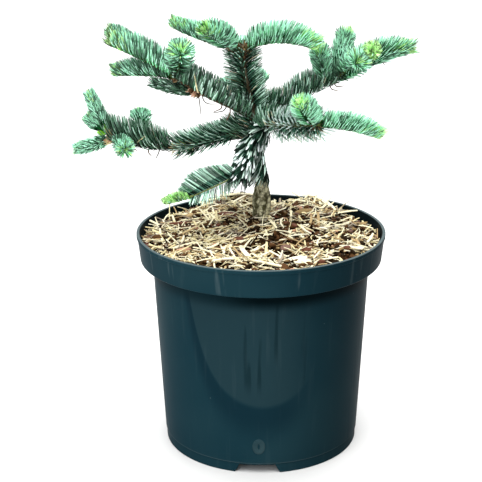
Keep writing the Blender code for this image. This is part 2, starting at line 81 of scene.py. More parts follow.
@dataclass(frozen=True)
class Signal:
    """A node's output socket, so that sums on it add Math nodes."""

    socket: bpy.types.NodeSocket

    @staticmethod
    def node(
        tree: bpy.types.NodeTree,
        kind: str,
        settings: dict[str, object],
        inputs: dict[int | str, object],
        output: int | str = 0,
    ) -> "Signal":
        """Adds any node.

        Args:
            tree: The material's nodes.
            kind: The node's type.
            settings: Its properties, which are set first.
            inputs: Values or signals of its sockets.
            output: The output that is wanted.

        Returns:
            That output.
        """
        node = tree.nodes.new(kind)
        for name, value in settings.items():
            setattr(node, name, value)
        for place, value in inputs.items():
            feed(node.inputs[place], value)
        return Signal(node.outputs[output])

    def math(self, operation: str, *operands: "Signal | float") -> "Signal":
        """The result of a Math node."""
        inputs = dict(enumerate(operands))
        return Signal.node(self.socket.id_data, "ShaderNodeMath", {"operation": operation}, inputs)

    def __add__(self, other: "Signal | float") -> "Signal":
        """Sum."""
        return self.math("ADD", self, other)

    def __radd__(self, other: float) -> "Signal":
        """Sum, the number first."""
        return self.math("ADD", other, self)

    def __sub__(self, other: "Signal | float") -> "Signal":
        """Difference."""
        return self.math("SUBTRACT", self, other)

    def __rsub__(self, other: float) -> "Signal":
        """Difference, the number first."""
        return self.math("SUBTRACT", other, self)

    def __mul__(self, other: "Signal | float") -> "Signal":
        """Product."""
        return self.math("MULTIPLY", self, other)

    def __rmul__(self, other: float) -> "Signal":
        """Product, the number first."""
        return self.math("MULTIPLY", other, self)

    def above(self, low: float, high: float) -> "Signal":
        """Rises smoothly from 0 at low to 1 at high."""
        settings, inputs = {"interpolation_type": "SMOOTHSTEP"}, {0: self, 1: low, 2: high}
        return Signal.node(self.socket.id_data, "ShaderNodeMapRange", settings, inputs)


def feed(place: bpy.types.NodeSocket, value: "Signal | float | Sequence[float]") -> None:
    """Links a signal to a socket, or sets a constant on it.

    Args:
        place: The input socket.
        value: A signal, a number, or a colour or vector.
    """
    if isinstance(value, Signal):
        place.id_data.links.new(value.socket, place)
    elif place.type == "RGBA":
        place.default_value = (*value, 1.0)
    else:
        place.default_value = value


class Recipe:
    """A material's nodes under its one Principled shader."""

    def __init__(self, name: str, **constants: "float | Color") -> None:
        """Starts a material.

        Args:
            name: The material's name.
            constants: Values of the shader's sockets, with underscores for spaces.
        """
        self.material = bpy.data.materials.new(name)
        self.material.use_nodes = True
        self.shader = self.material.node_tree.nodes["Principled BSDF"]
        for place, value in constants.items():
            feed(self.shader.inputs[place.replace("_", " ")], value)

    def node(
        self, kind: str, settings: dict[str, object], inputs: dict[int | str, object], output: int | str = 0
    ) -> Signal:
        """Adds any node to the material."""
        return Signal.node(self.material.node_tree, kind, settings, inputs, output)

    def place(self) -> Signal:
        """The point's place in the frame."""
        return self.node("ShaderNodeTexCoord", {}, {}, "Object")

    def along(self, axis: str) -> Signal:
        """The point's place along one axis."""
        return self.node("ShaderNodeSeparateXYZ", {}, {0: self.place()}, axis)

    def noise(self, scale: float, detail: float, upward: float = 1.0) -> Signal:
        """Cloudy noise.

        Args:
            scale: Cells to the metre.
            detail: Octaves.
            upward: Factor on heights, below 1 to draw it out upward.

        Returns:
            The noise, about 0.5 on average.
        """
        drawn_out = {0: self.place(), 1: (1.0, 1.0, upward)}
        where = self.node("ShaderNodeVectorMath", {"operation": "MULTIPLY"}, drawn_out)
        return self.node("ShaderNodeTexNoise", {}, {"Vector": where, "Scale": scale, "Detail": detail})

    def cells(self, scale: float, output: str) -> Signal:
        """Voronoi cells: the Distance to the nearest seed, or its Color."""
        return self.node("ShaderNodeTexVoronoi", {}, {"Vector": self.place(), "Scale": scale}, output)

    def mix(self, share: Signal | float, first: Signal | Color, second: Signal | Color) -> Signal:
        """Blend of two colours, with so large a share of the second."""
        return self.node("ShaderNodeMix", {"data_type": "RGBA"}, {0: share, 6: first, 7: second}, 2)

    def attribute(self, name: str) -> Signal:
        """A number stored on the mesh's points."""
        return self.node("ShaderNodeAttribute", {"attribute_name": name}, {}, "Fac")

    def relief(self, height: Signal, distance: float, strength: float) -> None:
        """Bumps the normal by a height from 0 to 1, which stands for a distance in metres."""
        inputs = {"Strength": strength, "Distance": distance, "Height": height}
        self.set(Normal=self.node("ShaderNodeBump", {}, inputs))

    def set(self, **signals: Signal) -> None:
        """Feeds the shader's sockets, with underscores for spaces."""
        for place, value in signals.items():
            feed(self.shader.inputs[place.replace("_", " ")], value)


# Finishes


@dataclass(frozen=True)
class Tone:
    """One plain opaque colour, dealt out to needles, twigs, straws and chips."""

    name: str
    color: Color
    roughness: float = 0.5
    specular: float = 0.4

    def material(self) -> bpy.types.Material:
        """The material, made once.

        Returns:
            The material.
        """
        found = bpy.data.materials.get(self.name)
        if found:
            return found
        constants = {"Base_Color": self.color, "Roughness": self.roughness}
        return Recipe(self.name, **constants, Specular_IOR_Level=self.specular).material

    def shifted(self, name: str, share: float) -> "Tone":
        """The tone under a new name, with its brightness changed by a factor."""
        color = tuple(min(part * share, 1.0) for part in self.color)
        return Tone(name, color, self.roughness, self.specular)


@dataclass(frozen=True)
class Mottle:
    """A mask from cloudy noise: cells to the metre, octaves, where it starts and is full, upward factor."""

    scale: float
    detail: float
    span: Span
    upward: float = 1.0

    def noise(self, recipe: Recipe) -> Signal:
        """The noise itself, about 0.5 on average."""
        return recipe.noise(self.scale, self.detail, self.upward)

    def mask(self, recipe: Recipe) -> Signal:
        """The mask, from 0 to 1."""
        return self.noise(recipe).above(*self.span)


@dataclass(frozen=True)
class PotPlastic:
    """Satin moulded plastic, deep teal, with upright scuffs and dust, and light and shade painted in.

    Painted in are a painted highlight on the lip and along the step above the skirt, a painted
    U-shaped reflection on the front with a dark painted band below it and darker painted streaks
    inside it, a painted shadow under the band, painted shade on the right side, and near-black
    painted shade on the inside.

    Places are in metres. A pair is where a mask starts and where it is full, and a share is how much
    of its colour the full mask puts on. The U's edge climbs to both sides, in a curve and a hook.
    """

    deep: Color = (0.0062, 0.0268, 0.0375)
    light: Color = (0.0102, 0.0338, 0.044)
    # The next three colours are painted reflection: the lighter U on the front, the dark band below it and
    # the darker streaks inside it.
    reflection_light: Color = (0.0125, 0.032, 0.04)
    reflection_dark: Color = (0.0035, 0.017, 0.026)
    reflection_streak_color: Color = (0.003, 0.013, 0.017)
    # Pale dust for scuffs, smears and specks; the same colour is the painted highlight along the step above
    # the skirt.
    dust_and_highlight: Color = (0.09, 0.13, 0.14)
    # Lighter grey for the lip's top: painted highlight.
    lip_highlight: Color = (0.105, 0.135, 0.14)
    # Near-black inside: painted shade.
    inner: Color = (0.0022, 0.0075, 0.01)
    soil: Color = (0.05, 0.035, 0.02)
    # Near-black teal: painted shadow under the band, and painted shade on the right side.
    shade: Color = (0.0008, 0.0045, 0.006)
    clouds: Mottle = Mottle(11.0, 2.0, (0.35, 0.7))
    scuffs: Mottle = Mottle(230.0, 3.0, (0.54, 0.76), 0.04)
    # Upright streaks inside the U: painted reflection.
    reflection_streaks: Mottle = Mottle(150.0, 2.0, (0.52, 0.6), 0.02)
    smears: Mottle = Mottle(130.0, 2.0, (0.6, 0.72), 0.1)
    soiled: Mottle = Mottle(160.0, 3.0, (0.55, 0.75))
    speck_scale: float = 85.0
    speck_size: Span = (0.02, 0.045)
    speck_chance: Span = (0.6, 0.75)
    speck_share: float = 0.7
    # Places and shares from here to the streaks' share shape the painted U-shaped reflection, its dark band
    # and its streaks.
    reflection_foot: float = 0.053
    reflection_width: float = 400.0
    reflection_curve: float = 0.035
    reflection_hook: float = 0.03
    reflection_edge: Span = (0.0, 0.005)
    reflection_front: Span = (-0.055, -0.035)
    reflection_top: Span = (0.132, 0.146)
    reflection_right: Span = (0.012, 0.046)
    reflection_share: float = 0.8
    reflection_dark_edge: Span = (-0.034, -0.006)
    reflection_streak_foot: Span = (0.062, 0.08)
    reflection_streak_left: Span = (-0.026, -0.008)
    reflection_streak_share: float = 0.6
    scuff_share: float = 0.06
    smear_foot: Span = (0.146, 0.15)
    smear_share: float = 0.28
    # Where the painted shadow under the band starts and ends, and how it fades to the left.
    shade_foot: Span = (0.131, 0.1415)
    shade_top: Span = (0.1466, 0.1472)
    shade_left: Span = (-0.045, 0.0)
    # Where the painted highlight on the lip starts and is full, and its share.
    lip: Span = (0.168, 0.1686)
    lip_share: float = 0.8
    # A thin pale line on the step above the skirt: painted highlight.
    step_highlight_foot: Span = (0.0076, 0.0081)
    step_highlight_top: Span = (0.0084, 0.009)
    step_highlight_share: float = 0.35
    # Where the painted shade on the right side starts and is full, and its share.
    right_side: Span = (-0.01, 0.08)
    right_share: float = 0.62
    roughness: float = 0.36
    scuff_roughness: float = 0.16
    cloud_roughness: float = 0.08
    reflection_gloss: float = 0.05
    soil_share: float = 0.15
    grain_scale: float = 1400.0
    grain_depth: float = 0.08 * MM
    grain_strength: float = 0.25
    name: str = "pot_plastic_satin"

    def painted_reflection(
        self, recipe: Recipe, side: Signal, front: Signal, height: Signal
    ) -> tuple[Signal, Signal]:
        """Painted reflection on the front: a lighter U, a dark painted band below its edge, and darker
        painted streaks inside it.

        Args:
            recipe: The material's nodes.
            side: Place to the right.
            front: Place to the back.
            height: Place upward.

        Returns:
            How far inside the painted reflection a point is, and the plastic's colour with the painted
            reflection.
        """
        body = recipe.mix(self.clouds.mask(recipe), self.deep, self.light)
        # Painted reflection: a lighter U whose edge climbs to both sides, with a dark painted band below it.
        wide = side * side * self.reflection_width
        climb = wide * self.reflection_curve + wide * wide * wide * self.reflection_hook
        edge = height - (climb + self.reflection_foot)
        facing = 1.0 - front.above(*self.reflection_front)
        facing = facing * (1.0 - height.above(*self.reflection_top)) * (1.0 - side.above(*self.reflection_right))
        over = edge.above(*self.reflection_edge)
        inside = over * facing
        below = edge.above(*self.reflection_dark_edge) * (1.0 - over) * facing
        with_reflection_light = recipe.mix(inside * self.reflection_share, body, self.reflection_light)
        with_reflection = recipe.mix(below * self.reflection_share, with_reflection_light, self.reflection_dark)
        reflection_streaked = self.reflection_streaks.mask(recipe) * inside * height.above(*self.reflection_streak_foot) * side.above(*self.reflection_streak_left)
        return inside, recipe.mix(reflection_streaked * self.reflection_streak_share, with_reflection, self.reflection_streak_color)

    def material(self) -> bpy.types.Material:
        """The outside's material.

        Returns:
            The material.
        """
        recipe = Recipe(self.name, Specular_IOR_Level=0.008)
        side, front, height = (recipe.along(axis) for axis in "XYZ")
        inside, with_reflection = self.painted_reflection(recipe, side, front, height)
        scuffs = self.scuffs.mask(recipe)
        smears = self.smears.mask(recipe) * height.above(*self.smear_foot)
        scuffed = recipe.mix(scuffs * self.scuff_share + smears * self.smear_share, with_reflection, self.dust_and_highlight)
        specks = 1.0 - recipe.cells(self.speck_scale, "Distance").above(*self.speck_size)
        draw = recipe.node("ShaderNodeSeparateColor", {}, {0: recipe.cells(self.speck_scale, "Color")})
        specks = specks * draw.above(*self.speck_chance) * self.speck_share
        dusty = recipe.mix(specks, scuffed, self.dust_and_highlight)
        # Painted shadow under the band's overhang, stronger to the right.
        shade = height.above(*self.shade_foot) * (1.0 - height.above(*self.shade_top))
        shaded = recipe.mix(shade * (0.5 + side.above(*self.shade_left) * 0.5), dusty, self.shade)
        # Painted highlight along the step above the skirt.
        line = height.above(*self.step_highlight_foot) * (1.0 - height.above(*self.step_highlight_top))
        lined = recipe.mix(line * self.step_highlight_share, shaded, self.dust_and_highlight)
        # The right side is darkened toward the shade colour: painted shade.
        aged = recipe.mix(side.above(*self.right_side) * self.right_share, lined, self.shade)
        rough = self.roughness + scuffs * self.scuff_roughness
        # The lip's top is lightened: painted highlight.
        recipe.set(
            Base_Color=recipe.mix(height.above(*self.lip) * self.lip_share, aged, self.lip_highlight),
            Roughness=rough + self.clouds.noise(recipe) * self.cloud_roughness - inside * self.reflection_gloss,
        )
        return self.grained(recipe)

    def grained(self, recipe: Recipe) -> bpy.types.Material:
        """The material with fine moulded grain."""
        recipe.relief(recipe.noise(self.grain_scale, 2.0), self.grain_depth, self.grain_strength)
        return recipe.material

    def shaded_inside_material(self) -> bpy.types.Material:
        """The inside's material: matt, nearly black as painted shade, with traces of mix.

        Returns:
            The material.
        """
        recipe = Recipe("pot_plastic_inside", Roughness=0.6, Specular_IOR_Level=0.06)
        recipe.set(Base_Color=recipe.mix(self.soiled.mask(recipe) * self.soil_share, self.inner, self.soil))
        return self.grained(recipe)


@dataclass(frozen=True)
class Bark:
    """Young fir bark: olive and tan scales between dark cracks, browner on the young wood higher up."""

    name: str = "fir_bark"
    olive: Color = (0.07, 0.068, 0.028)
    tan: Color = (0.72, 0.69, 0.47)
    crack: Color = (0.026, 0.021, 0.009)
    young: Color = (0.04, 0.026, 0.012)
    patches: Mottle = Mottle(300.0, 3.0, (0.4, 0.62), 0.55)
    flecks: Mottle = Mottle(1500.0, 3.0, (0.45, 0.8))
    fleck_share: float = 0.5
    crack_share: float = 0.65
    young_from: Span = (0.236, 0.256)
    young_share: float = 0.85

    def material(self) -> bpy.types.Material:
        """Makes the material.

        Returns:
            The material.
        """
        recipe = Recipe(self.name, Roughness=0.85, Specular_IOR_Level=0.25)
        scale = recipe.mix(self.patches.mask(recipe), self.olive, self.tan)
        fine = self.flecks.noise(recipe)
        flecked = recipe.mix(fine.above(*self.flecks.span) * self.fleck_share, scale, self.crack)
        cracked = recipe.mix(recipe.attribute(CRACKS) * self.crack_share, flecked, self.crack)
        young = recipe.along("Z").above(*self.young_from) * self.young_share
        recipe.set(Base_Color=recipe.mix(young, cracked, self.young))
        recipe.relief(fine, 0.3 * MM, 0.6)
        return recipe.material


@dataclass(frozen=True)
class Humus:
    """Dark moist potting mix that shows between the shavings."""

    dark: Color = (0.01, 0.0045, 0.0012)
    brown: Color = (0.072, 0.036, 0.013)
    clods: Mottle = Mottle(420.0, 4.0, (0.42, 0.68))

    def material(self) -> bpy.types.Material:
        """Makes the material.

        Returns:
            The material.
        """
        recipe = Recipe("potting_humus", Roughness=0.92, Specular_IOR_Level=0.03)
        clods = self.clods.noise(recipe)
        recipe.set(Base_Color=recipe.mix(clods.above(*self.clods.span), self.dark, self.brown))
        recipe.relief(clods, 1.2 * MM, 0.8)
        return recipe.material


@dataclass(frozen=True)
class NeedleTones:
    """A needle's four colours: root, outer side, inner side and tip; the dark root and inner side are partly
    the needle's colour and partly painted shade.
    """

    root: Color
    outer: Color
    inner: Color
    tip: Color
    roughness: float = 0.5
    specular: float = 0.08


class Age(Enum):
    """How old a twig's needles are, with their tones; the last two are painted shade, and pale bloom
    brightened as painted light.
    """

    MATURE = NeedleTones(
        (0.002, 0.01, 0.005), (0.046, 0.135, 0.076), (0.004, 0.028, 0.011), (0.11, 0.24, 0.15)
    )
    BLOOMED = NeedleTones(
        (0.11, 0.26, 0.19), (0.46, 0.72, 0.57), (0.04, 0.15, 0.09), (0.54, 0.79, 0.66)
    )
    YOUNG = NeedleTones(
        (0.014, 0.09, 0.016), (0.205, 0.65, 0.32), (0.006, 0.09, 0.026), (0.43, 0.87, 0.6)
    )
    NEW = NeedleTones(
        (0.1, 0.36, 0.025), (0.33, 0.86, 0.17), (0.13, 0.52, 0.06), (0.53, 0.94, 0.37)
    )
    DRY = NeedleTones(
        (0.16, 0.09, 0.04), (0.7, 0.62, 0.42), (0.36, 0.26, 0.13), (0.8, 0.74, 0.56)
    )
    # Near-black tones for the hanging needles of the front bough: painted shade.
    SHADED = NeedleTones(
        (0.0005, 0.002, 0.001), (0.003, 0.015, 0.008), (0.0005, 0.004, 0.002), (0.01, 0.036, 0.022)
    )
    # Pale waxy bloom, brightened further as painted light on needles that face down or lie in shade.
    FROSTED = NeedleTones(
        (0.05, 0.14, 0.095), (0.64, 0.88, 0.76), (0.05, 0.16, 0.105), (0.7, 0.9, 0.8)
    )


AGES = tuple(Age)
# Brightness copies of every needle tone: the darkest stands in for needles in shade and the brightest for lit
# ones, painted shade and painted light.
SHADES = (0.26, 0.86, 1.3)
NEEDLE_PARTS = ("root", "outer", "inner", "tip")


def needle_palette() -> list[Tone]:
    """All the needles' tones: by age, then shade, then part of the needle.

    Returns:
        The tones.
    """
    tones = []
    for age in AGES:
        colors = age.value
        for shade, share in enumerate(SHADES):
            for part in NEEDLE_PARTS:
                base = Tone("", getattr(colors, part), colors.roughness, colors.specular)
                tones.append(base.shifted(f"needle_{age.name.lower()}_{part}_{shade + 1}", share))
    return tones


# Meshes from arrays


def unit(vectors: np.ndarray) -> np.ndarray:
    """Vectors along the last axis, at length 1."""
    return vectors / np.maximum(np.linalg.norm(vectors, axis=-1, keepdims=True), 1e-12)


def smooth_step(values: np.ndarray, low: float, high: float) -> np.ndarray:
    """Eased share of the way from low to high."""
    share = np.clip((values - low) / (high - low), 0.0, 1.0)
    return share * share * (3 - 2 * share)


def golden(index: np.ndarray) -> np.ndarray:
    """Even shares of the way round, from -1 to 1, that never line up."""
    return (index * GOLDEN_SHARE) % 1.0 * 2 - 1


def turned(turn: float | np.ndarray, first: np.ndarray, second: np.ndarray) -> np.ndarray:
    """Directions that a turn in radians leads to, on the way from the first to the second."""
    return np.cos(turn)[..., None] * first + np.sin(turn)[..., None] * second


def ring_turns(sides: int) -> np.ndarray:
    """Even turns once round, in radians."""
    return 2 * math.pi * np.arange(sides) / sides


def circle(sides: int) -> np.ndarray:
    """Even directions once round on the level."""
    return turned(ring_turns(sides), EAST, NORTH)


def tube_faces(rings: int, sides: int) -> np.ndarray:
    """Four-sided faces of a tube whose points go ring by ring.

    Args:
        rings: How many rings it has.
        sides: How many points a ring has.

    Returns:
        The faces' corners.
    """
    here = np.arange(sides)
    there = (here + 1) % sides
    foot = np.stack([here, there, there + sides, here + sides], axis=1)
    return np.concatenate([foot + ring * sides for ring in range(rings - 1)])


def closed_tube_faces(rings: int, sides: int) -> tuple[np.ndarray, np.ndarray]:
    """Faces of a tube with its ends drawn to a point each, which come after the rings' points.

    Args:
        rings: How many rings it has.
        sides: How many points a ring has.

    Returns:
        Four-sided faces, then three-sided ones.
    """
    here, total = np.arange(sides), rings * sides
    there = (here + 1) % sides
    near = np.stack([there, here, np.full(sides, total)], axis=1)
    far = np.stack([here + total - sides, there + total - sides, np.full(sides, total + 1)], axis=1)
    return tube_faces(rings, sides), np.concatenate([near, far])


class Gathering:
    """Points, faces and tones of things that become one joined mesh."""

    def __init__(self) -> None:
        """Starts empty."""
        self.points: list[np.ndarray] = []
        self.faces: list[np.ndarray] = []
        self.tones: list[np.ndarray] = []
        self.cracks: list[np.ndarray] = []
        self.count = 0

    def add(self, points: np.ndarray, faces: Sequence[np.ndarray], tone: int = 0) -> None:
        """Adds one thing in one tone, its points a row each."""
        self.add_copies(points[None], faces, [tone] * len(faces))

    def add_copies(
        self, points: np.ndarray, faces: Sequence[np.ndarray], tones: Sequence[int | np.ndarray]
    ) -> None:
        """Adds many things that share their faces' pattern.

        Args:
            points: Things by points by three.
            faces: The pattern, an array for each number of corners.
            tones: For each array, things by faces: the slots.
        """
        things, each, _ = points.shape
        starts = self.count + each * np.arange(things)
        for some, slots in zip(faces, tones):
            self.faces.append((some[None] + starts[:, None, None]).reshape(-1, some.shape[1]))
            self.tones.append(np.broadcast_to(slots, (things, len(some))).reshape(-1))
        self.points.append(points.reshape(-1, 3))
        self.count += things * each

    def piece(
        self,
        name: str,
        finishes: Sequence[bpy.types.Material],
        slot: str,
        replaced: Iterable[str],
        smooth: bool = False,
    ) -> bpy.types.Object:
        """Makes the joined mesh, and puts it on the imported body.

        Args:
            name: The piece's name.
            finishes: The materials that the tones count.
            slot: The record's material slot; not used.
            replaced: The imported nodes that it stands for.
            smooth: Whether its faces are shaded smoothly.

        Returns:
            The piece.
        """
        mesh = bpy.data.meshes.new(name)
        faces = [face for some in self.faces for face in some.tolist()]
        mesh.from_pydata(np.concatenate(self.points).tolist(), [], faces)
        used, packed = np.unique(np.concatenate(self.tones), return_inverse=True)
        for index in used:
            mesh.materials.append(finishes[index])
        mesh.polygons.foreach_set("material_index", packed.reshape(-1).astype(np.int32))
        mesh.polygons.foreach_set("use_smooth", np.full(len(faces), smooth))
        if self.cracks:
            kept = mesh.attributes.new(CRACKS, "FLOAT", "POINT")
            kept.data.foreach_set("value", np.concatenate(self.cracks).astype(np.float32))
        mesh.update()
        piece = bpy.data.objects.new(name, mesh)
        bpy.context.scene.collection.objects.link(piece)
        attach(piece, "root")
        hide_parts(*replaced)
        return piece


def add_tube(
    gathering: Gathering, loops: np.ndarray, tone: int, cracks: np.ndarray | None = None
) -> None:
    """Adds a closed tube through loops of points, its ends drawn to their middles.

    Args:
        gathering: What it is added to.
        loops: Rings by points by three.
        tone: The slot of its finish.
        cracks: For bark, how near each point is to a crack; the ends are half way.
    """
    middles = [loops[0].mean(0), loops[-1].mean(0)]
    gathering.add(np.concatenate([loops.reshape(-1, 3), middles]), closed_tube_faces(*loops.shape[:2]), tone)
    if cracks is not None:
        gathering.cracks.append(np.concatenate([cracks.ravel(), [0.5, 0.5]]))


@dataclass(frozen=True)
class BladeForm:
    """Outline of a needle, scale or straw: its stations along the length and their widths."""

    stations: tuple[float, ...]
    widths: tuple[float, ...]
    corners: int = 4

    def faces(self) -> tuple[np.ndarray, np.ndarray]:
        """Pattern of one blade's faces."""
        return closed_tube_faces(len(self.stations), self.corners)

    def points(self, blades: "Blades") -> np.ndarray:
        """Points of every blade: four at each station, then its root and its tip.

        Args:
            blades: Where the blades stand, and their sizes.

        Returns:
            Blades by points by three.
        """
        knee = blades.root + blades.length[:, None] * blades.knee * blades.start
        end = knee + blades.length[:, None] * (1 - blades.knee) * blades.end
        wide = unit(np.cross(blades.start, blades.end) + 1e-3 * np.cross(blades.start, blades.face))
        rows = []
        for share, width in zip(self.stations, self.widths):
            back, on = 1 - share, share
            middle = back * back * blades.root + 2 * back * on * knee + on * on * end
            along = unit(back * (knee - blades.root) + on * (end - knee))
            side = unit(wide - (wide * along).sum(1, keepdims=True) * along)
            flat = np.cross(along, side)
            across = turned(blades.roll, side, flat) * (0.5 * width * blades.width)[:, None]
            up = turned(blades.roll, flat, -side) * (0.5 * width * blades.thickness)[:, None]
            rows += [middle + across, middle + up, middle - across, middle - up]
        return np.stack([*rows, blades.root, end], axis=1)


@dataclass
class Blades:
    """Many needles or scales: each row is one, bent once on its way from start to end direction."""

    root: np.ndarray
    start: np.ndarray
    end: np.ndarray
    length: np.ndarray
    width: np.ndarray
    thickness: np.ndarray
    face: np.ndarray
    roll: np.ndarray
    tone: np.ndarray
    knee: float = 0.45

    @staticmethod
    def joined(parts: Sequence["Blades"]) -> "Blades":
        """Several sets as one."""
        names = ("root", "start", "end", "length", "width", "thickness", "face", "roll", "tone")
        return Blades(*(np.concatenate([getattr(part, name) for part in parts]) for name in names))


NEEDLE_FORM = BladeForm((0.07, 0.38, 0.7, 0.93), (0.62, 1.0, 0.98, 0.66))
SCALE_FORM = BladeForm((0.2, 0.55, 0.85), (0.8, 1.0, 0.55))


# Growth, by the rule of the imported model


class Habit(Enum):
    """How the needles of a twig stand."""

    BRUSH = "swept up"
    ROUND = "all round"
    TUFT = "close together and forward"
    ROSETTE = "spread round the tip"
    SPIKE = "close along the twig"
    OLD = "thin and swept up"
    DROOP = "long and hanging"
    APRON = "hanging all round"
    FEATHER = "in two rows"
    SHAG = "level on both sides"
    SPRAY = "loose and forward"
    SLEEVE = "round the leader"


@dataclass(frozen=True)
class Twig:
    """One needle-bearing axis, in millimetres and degrees. Heading 0 is +X, 90 is +Y."""

    name: str
    leaves: str
    at: float
    length: float
    heading: float
    rise: float
    bend: float = 0.0
    needle: float = 1.0
    age: Age = Age.YOUNG
    habit: Habit = Habit.BRUSH
    bare: float = 1.5


@dataclass(frozen=True)
class Bough:
    """A limb and the mass of needles that goes on from its tip.

    With no length, the mass is on the trunk. Dark is the share of needles in their darkest shade,
    raised on the left boughs as painted shade and lowered on the right ones as painted light.
    """

    name: str
    height: float
    length: float
    twigs: tuple[Twig, ...]
    dark: float = 0.33


# A bough's last number, where given, is its dark share: higher on the left as painted shade, lower on the
# right as painted light.
BOUGHS = (
    Bough("left_upper", 254, 17, (
        Twig("stem", "", 1.0, 62, -148, 30, 8, 1.15, Age.BLOOMED, Habit.OLD),
        Twig("outer", "stem", 1.0, 51, -152, 30, -10, 1.15),
        Twig("outer_side", "outer", 0.55, 29, 152, 30, needle=0.8),
        Twig("level", "stem", 0.97, 40, -177, 4, -14, 0.9),
        Twig("front", "stem", 0.95, 34, -80, 40, 10, 1.0, Age.YOUNG, Habit.ROSETTE),
        Twig("low", "stem", 0.58, 34, 162, 6, 8, 0.8, Age.MATURE, Habit.SPIKE),
    ), 0.55),
    Bough("left_middle", 248, 16, (
        Twig("inner", "", 1.0, 44, 177, -18, 10, 1.1, Age.BLOOMED, Habit.SHAG),
        Twig("outer", "inner", 1.0, 54, 177, 9, 14, 1.3, Age.MATURE, Habit.OLD, 6.0),
        Twig("tall", "outer", 1.0, 33, 165, 63, 6, 0.95, Age.YOUNG, Habit.SPIKE, 7.0),
        Twig("fan", "outer", 0.97, 21, 174, 38, needle=0.95, habit=Habit.SPIKE, bare=8.0),
        Twig("flat", "outer", 0.98, 26, -164, -14, 10, 0.85, Age.YOUNG, Habit.SPIKE),
        Twig("front", "outer", 0.95, 27, -70, -3, -8, 0.7, Age.YOUNG, Habit.ROSETTE),
        Twig("crest", "outer", 0.56, 22, 96, 50, 0, 0.8, Age.YOUNG, Habit.ROSETTE),
    )),
    Bough("front", 243, 14, (
        Twig("stem", "", 1.0, 30, -106, -32, -4, 0.95, Age.FROSTED, Habit.DROOP),
        Twig("collar", "foot", 0.0, 11, -58, 20, 0, 0.95, Age.FROSTED, Habit.APRON, 4.0),
        Twig("apron", "foot", 0.3, 28, -64, -64, 0, 1.0, Age.FROSTED, Habit.APRON),
        Twig("apron_right", "foot", 0.2, 6, -10, -25, 0, 0.95, Age.FROSTED, Habit.APRON, 1.0),
        Twig("middle", "stem", 1.0, 44, -155, -18, 8, 1.22, Age.BLOOMED, Habit.FEATHER),
        Twig("tip", "middle", 0.97, 20, -160, -8, 0, 0.44, Age.NEW),
    )),
    Bough("right_upper", 254, 16, (
        Twig("stem", "", 1.0, 51, 8, 23, 4, 1.15, Age.BLOOMED, Habit.OLD),
        Twig("outer", "stem", 0.98, 62, 4, 22, -36, 1.04, Age.YOUNG, Habit.ROUND),
        Twig("crest", "stem", 0.97, 29, 46, 66, needle=1.0, habit=Habit.TUFT),
        Twig("front", "stem", 0.96, 35, -60, 31, needle=1.0, habit=Habit.ROSETTE),
        Twig("outer_front", "outer", 0.4, 30, -78, 27, 0, 0.62, Age.NEW, Habit.ROSETTE),
        Twig("back_lean", "stem", 0.85, 24, -112, 60, 0, 1.0, Age.YOUNG, Habit.TUFT),
    )),
    Bough("right_lower", 249, 17, (
        Twig("stem", "", 1.0, 55, -52, 10, 6, 1.05, Age.FROSTED, Habit.SPRAY),
        Twig("inner", "stem", 0.98, 28, -124, 41, 6, 0.92, Age.YOUNG, Habit.ROUND),
        Twig("outer", "stem", 1.0, 43, -17, -7, -16, 0.88),
    ), 0.15),
    Bough("back_upper", 252, 15, (
        Twig("stem", "", 1.0, 40, 97, 17, 6, 1.0, Age.MATURE, Habit.OLD),
        Twig("left", "stem", 0.6, 24, 140, 4, needle=0.8),
        Twig("right", "stem", 0.75, 22, 58, 12, needle=0.8),
    )),
    Bough("back_right", 246, 16, (
        Twig("stem", "", 1.0, 48, 56, -7, 6, 1.0, Age.MATURE, Habit.OLD),
        Twig("left", "stem", 0.55, 26, 98, 2, needle=0.9),
        Twig("right", "stem", 0.7, 20, 22, -2, needle=0.8),
    )),
    Bough("back_left", 240, 15, (
        Twig("stem", "", 1.0, 42, 130, -14, 6, 1.0, Age.MATURE, Habit.OLD),
        Twig("left", "stem", 0.6, 22, 168, -8, needle=0.8),
        Twig("right", "stem", 0.6, 26, 92, -8, needle=0.9),
    )),
    Bough("top_left", 305.5, 0, (
        Twig("back", "", 0.0, 53, -168, 20, 16, 0.85),
        Twig("front", "back", 0.1, 44, -121, 24.5, -8, 0.98, Age.YOUNG, Habit.ROUND, 4.0),
    )),
    Bough("top_right", 304.5, 0, (
        Twig("arch", "", 0.0, 55, -21, 7, -44, 1.1, bare=4.0),
    ), 0.18),
    Bough("top_back", 304.0, 0, (
        Twig("stem", "", 0.0, 40, 88, -14, -14, 0.8, bare=8.0),
    )),
)

# Trunk: height above the ground, sideways and backward offset, radius, all in millimetres.
TRUNK_STATIONS = (
    (172.9, -0.1, 16, 6.2),
    (180, 0.7, 16, 7),
    (187, 0.9, 16, 7.4),
    (194, 1.2, 16, 6.6),
    (201, 1.2, 15.7, 4.8),
    (215, -0.2, 15.2, 4.1),
    (230, -1.9, 14.6, 3.9),
    (246, -3.6, 14, 4.1),
    (257, -5.6, 13.8, 3.6),
    (274, -9.8, 12.5, 3.1),
    (290, -12.6, 11.5, 2.7),
    (308.5, -13.9, 11, 2.4),
)


def trunk_at(height: "float | np.ndarray") -> tuple[np.ndarray, np.ndarray]:
    """The trunk's axis and radius.

    Args:
        height: Heights above the ground, in metres.

    Returns:
        Middles and radii, in metres.
    """
    columns = np.array(TRUNK_STATIONS) * MM
    height = np.asarray(height, float)
    x, y, radius = (np.interp(height, columns[:, 0], columns[:, part]) for part in (1, 2, 3))
    return np.stack([x, y, height], axis=-1), radius


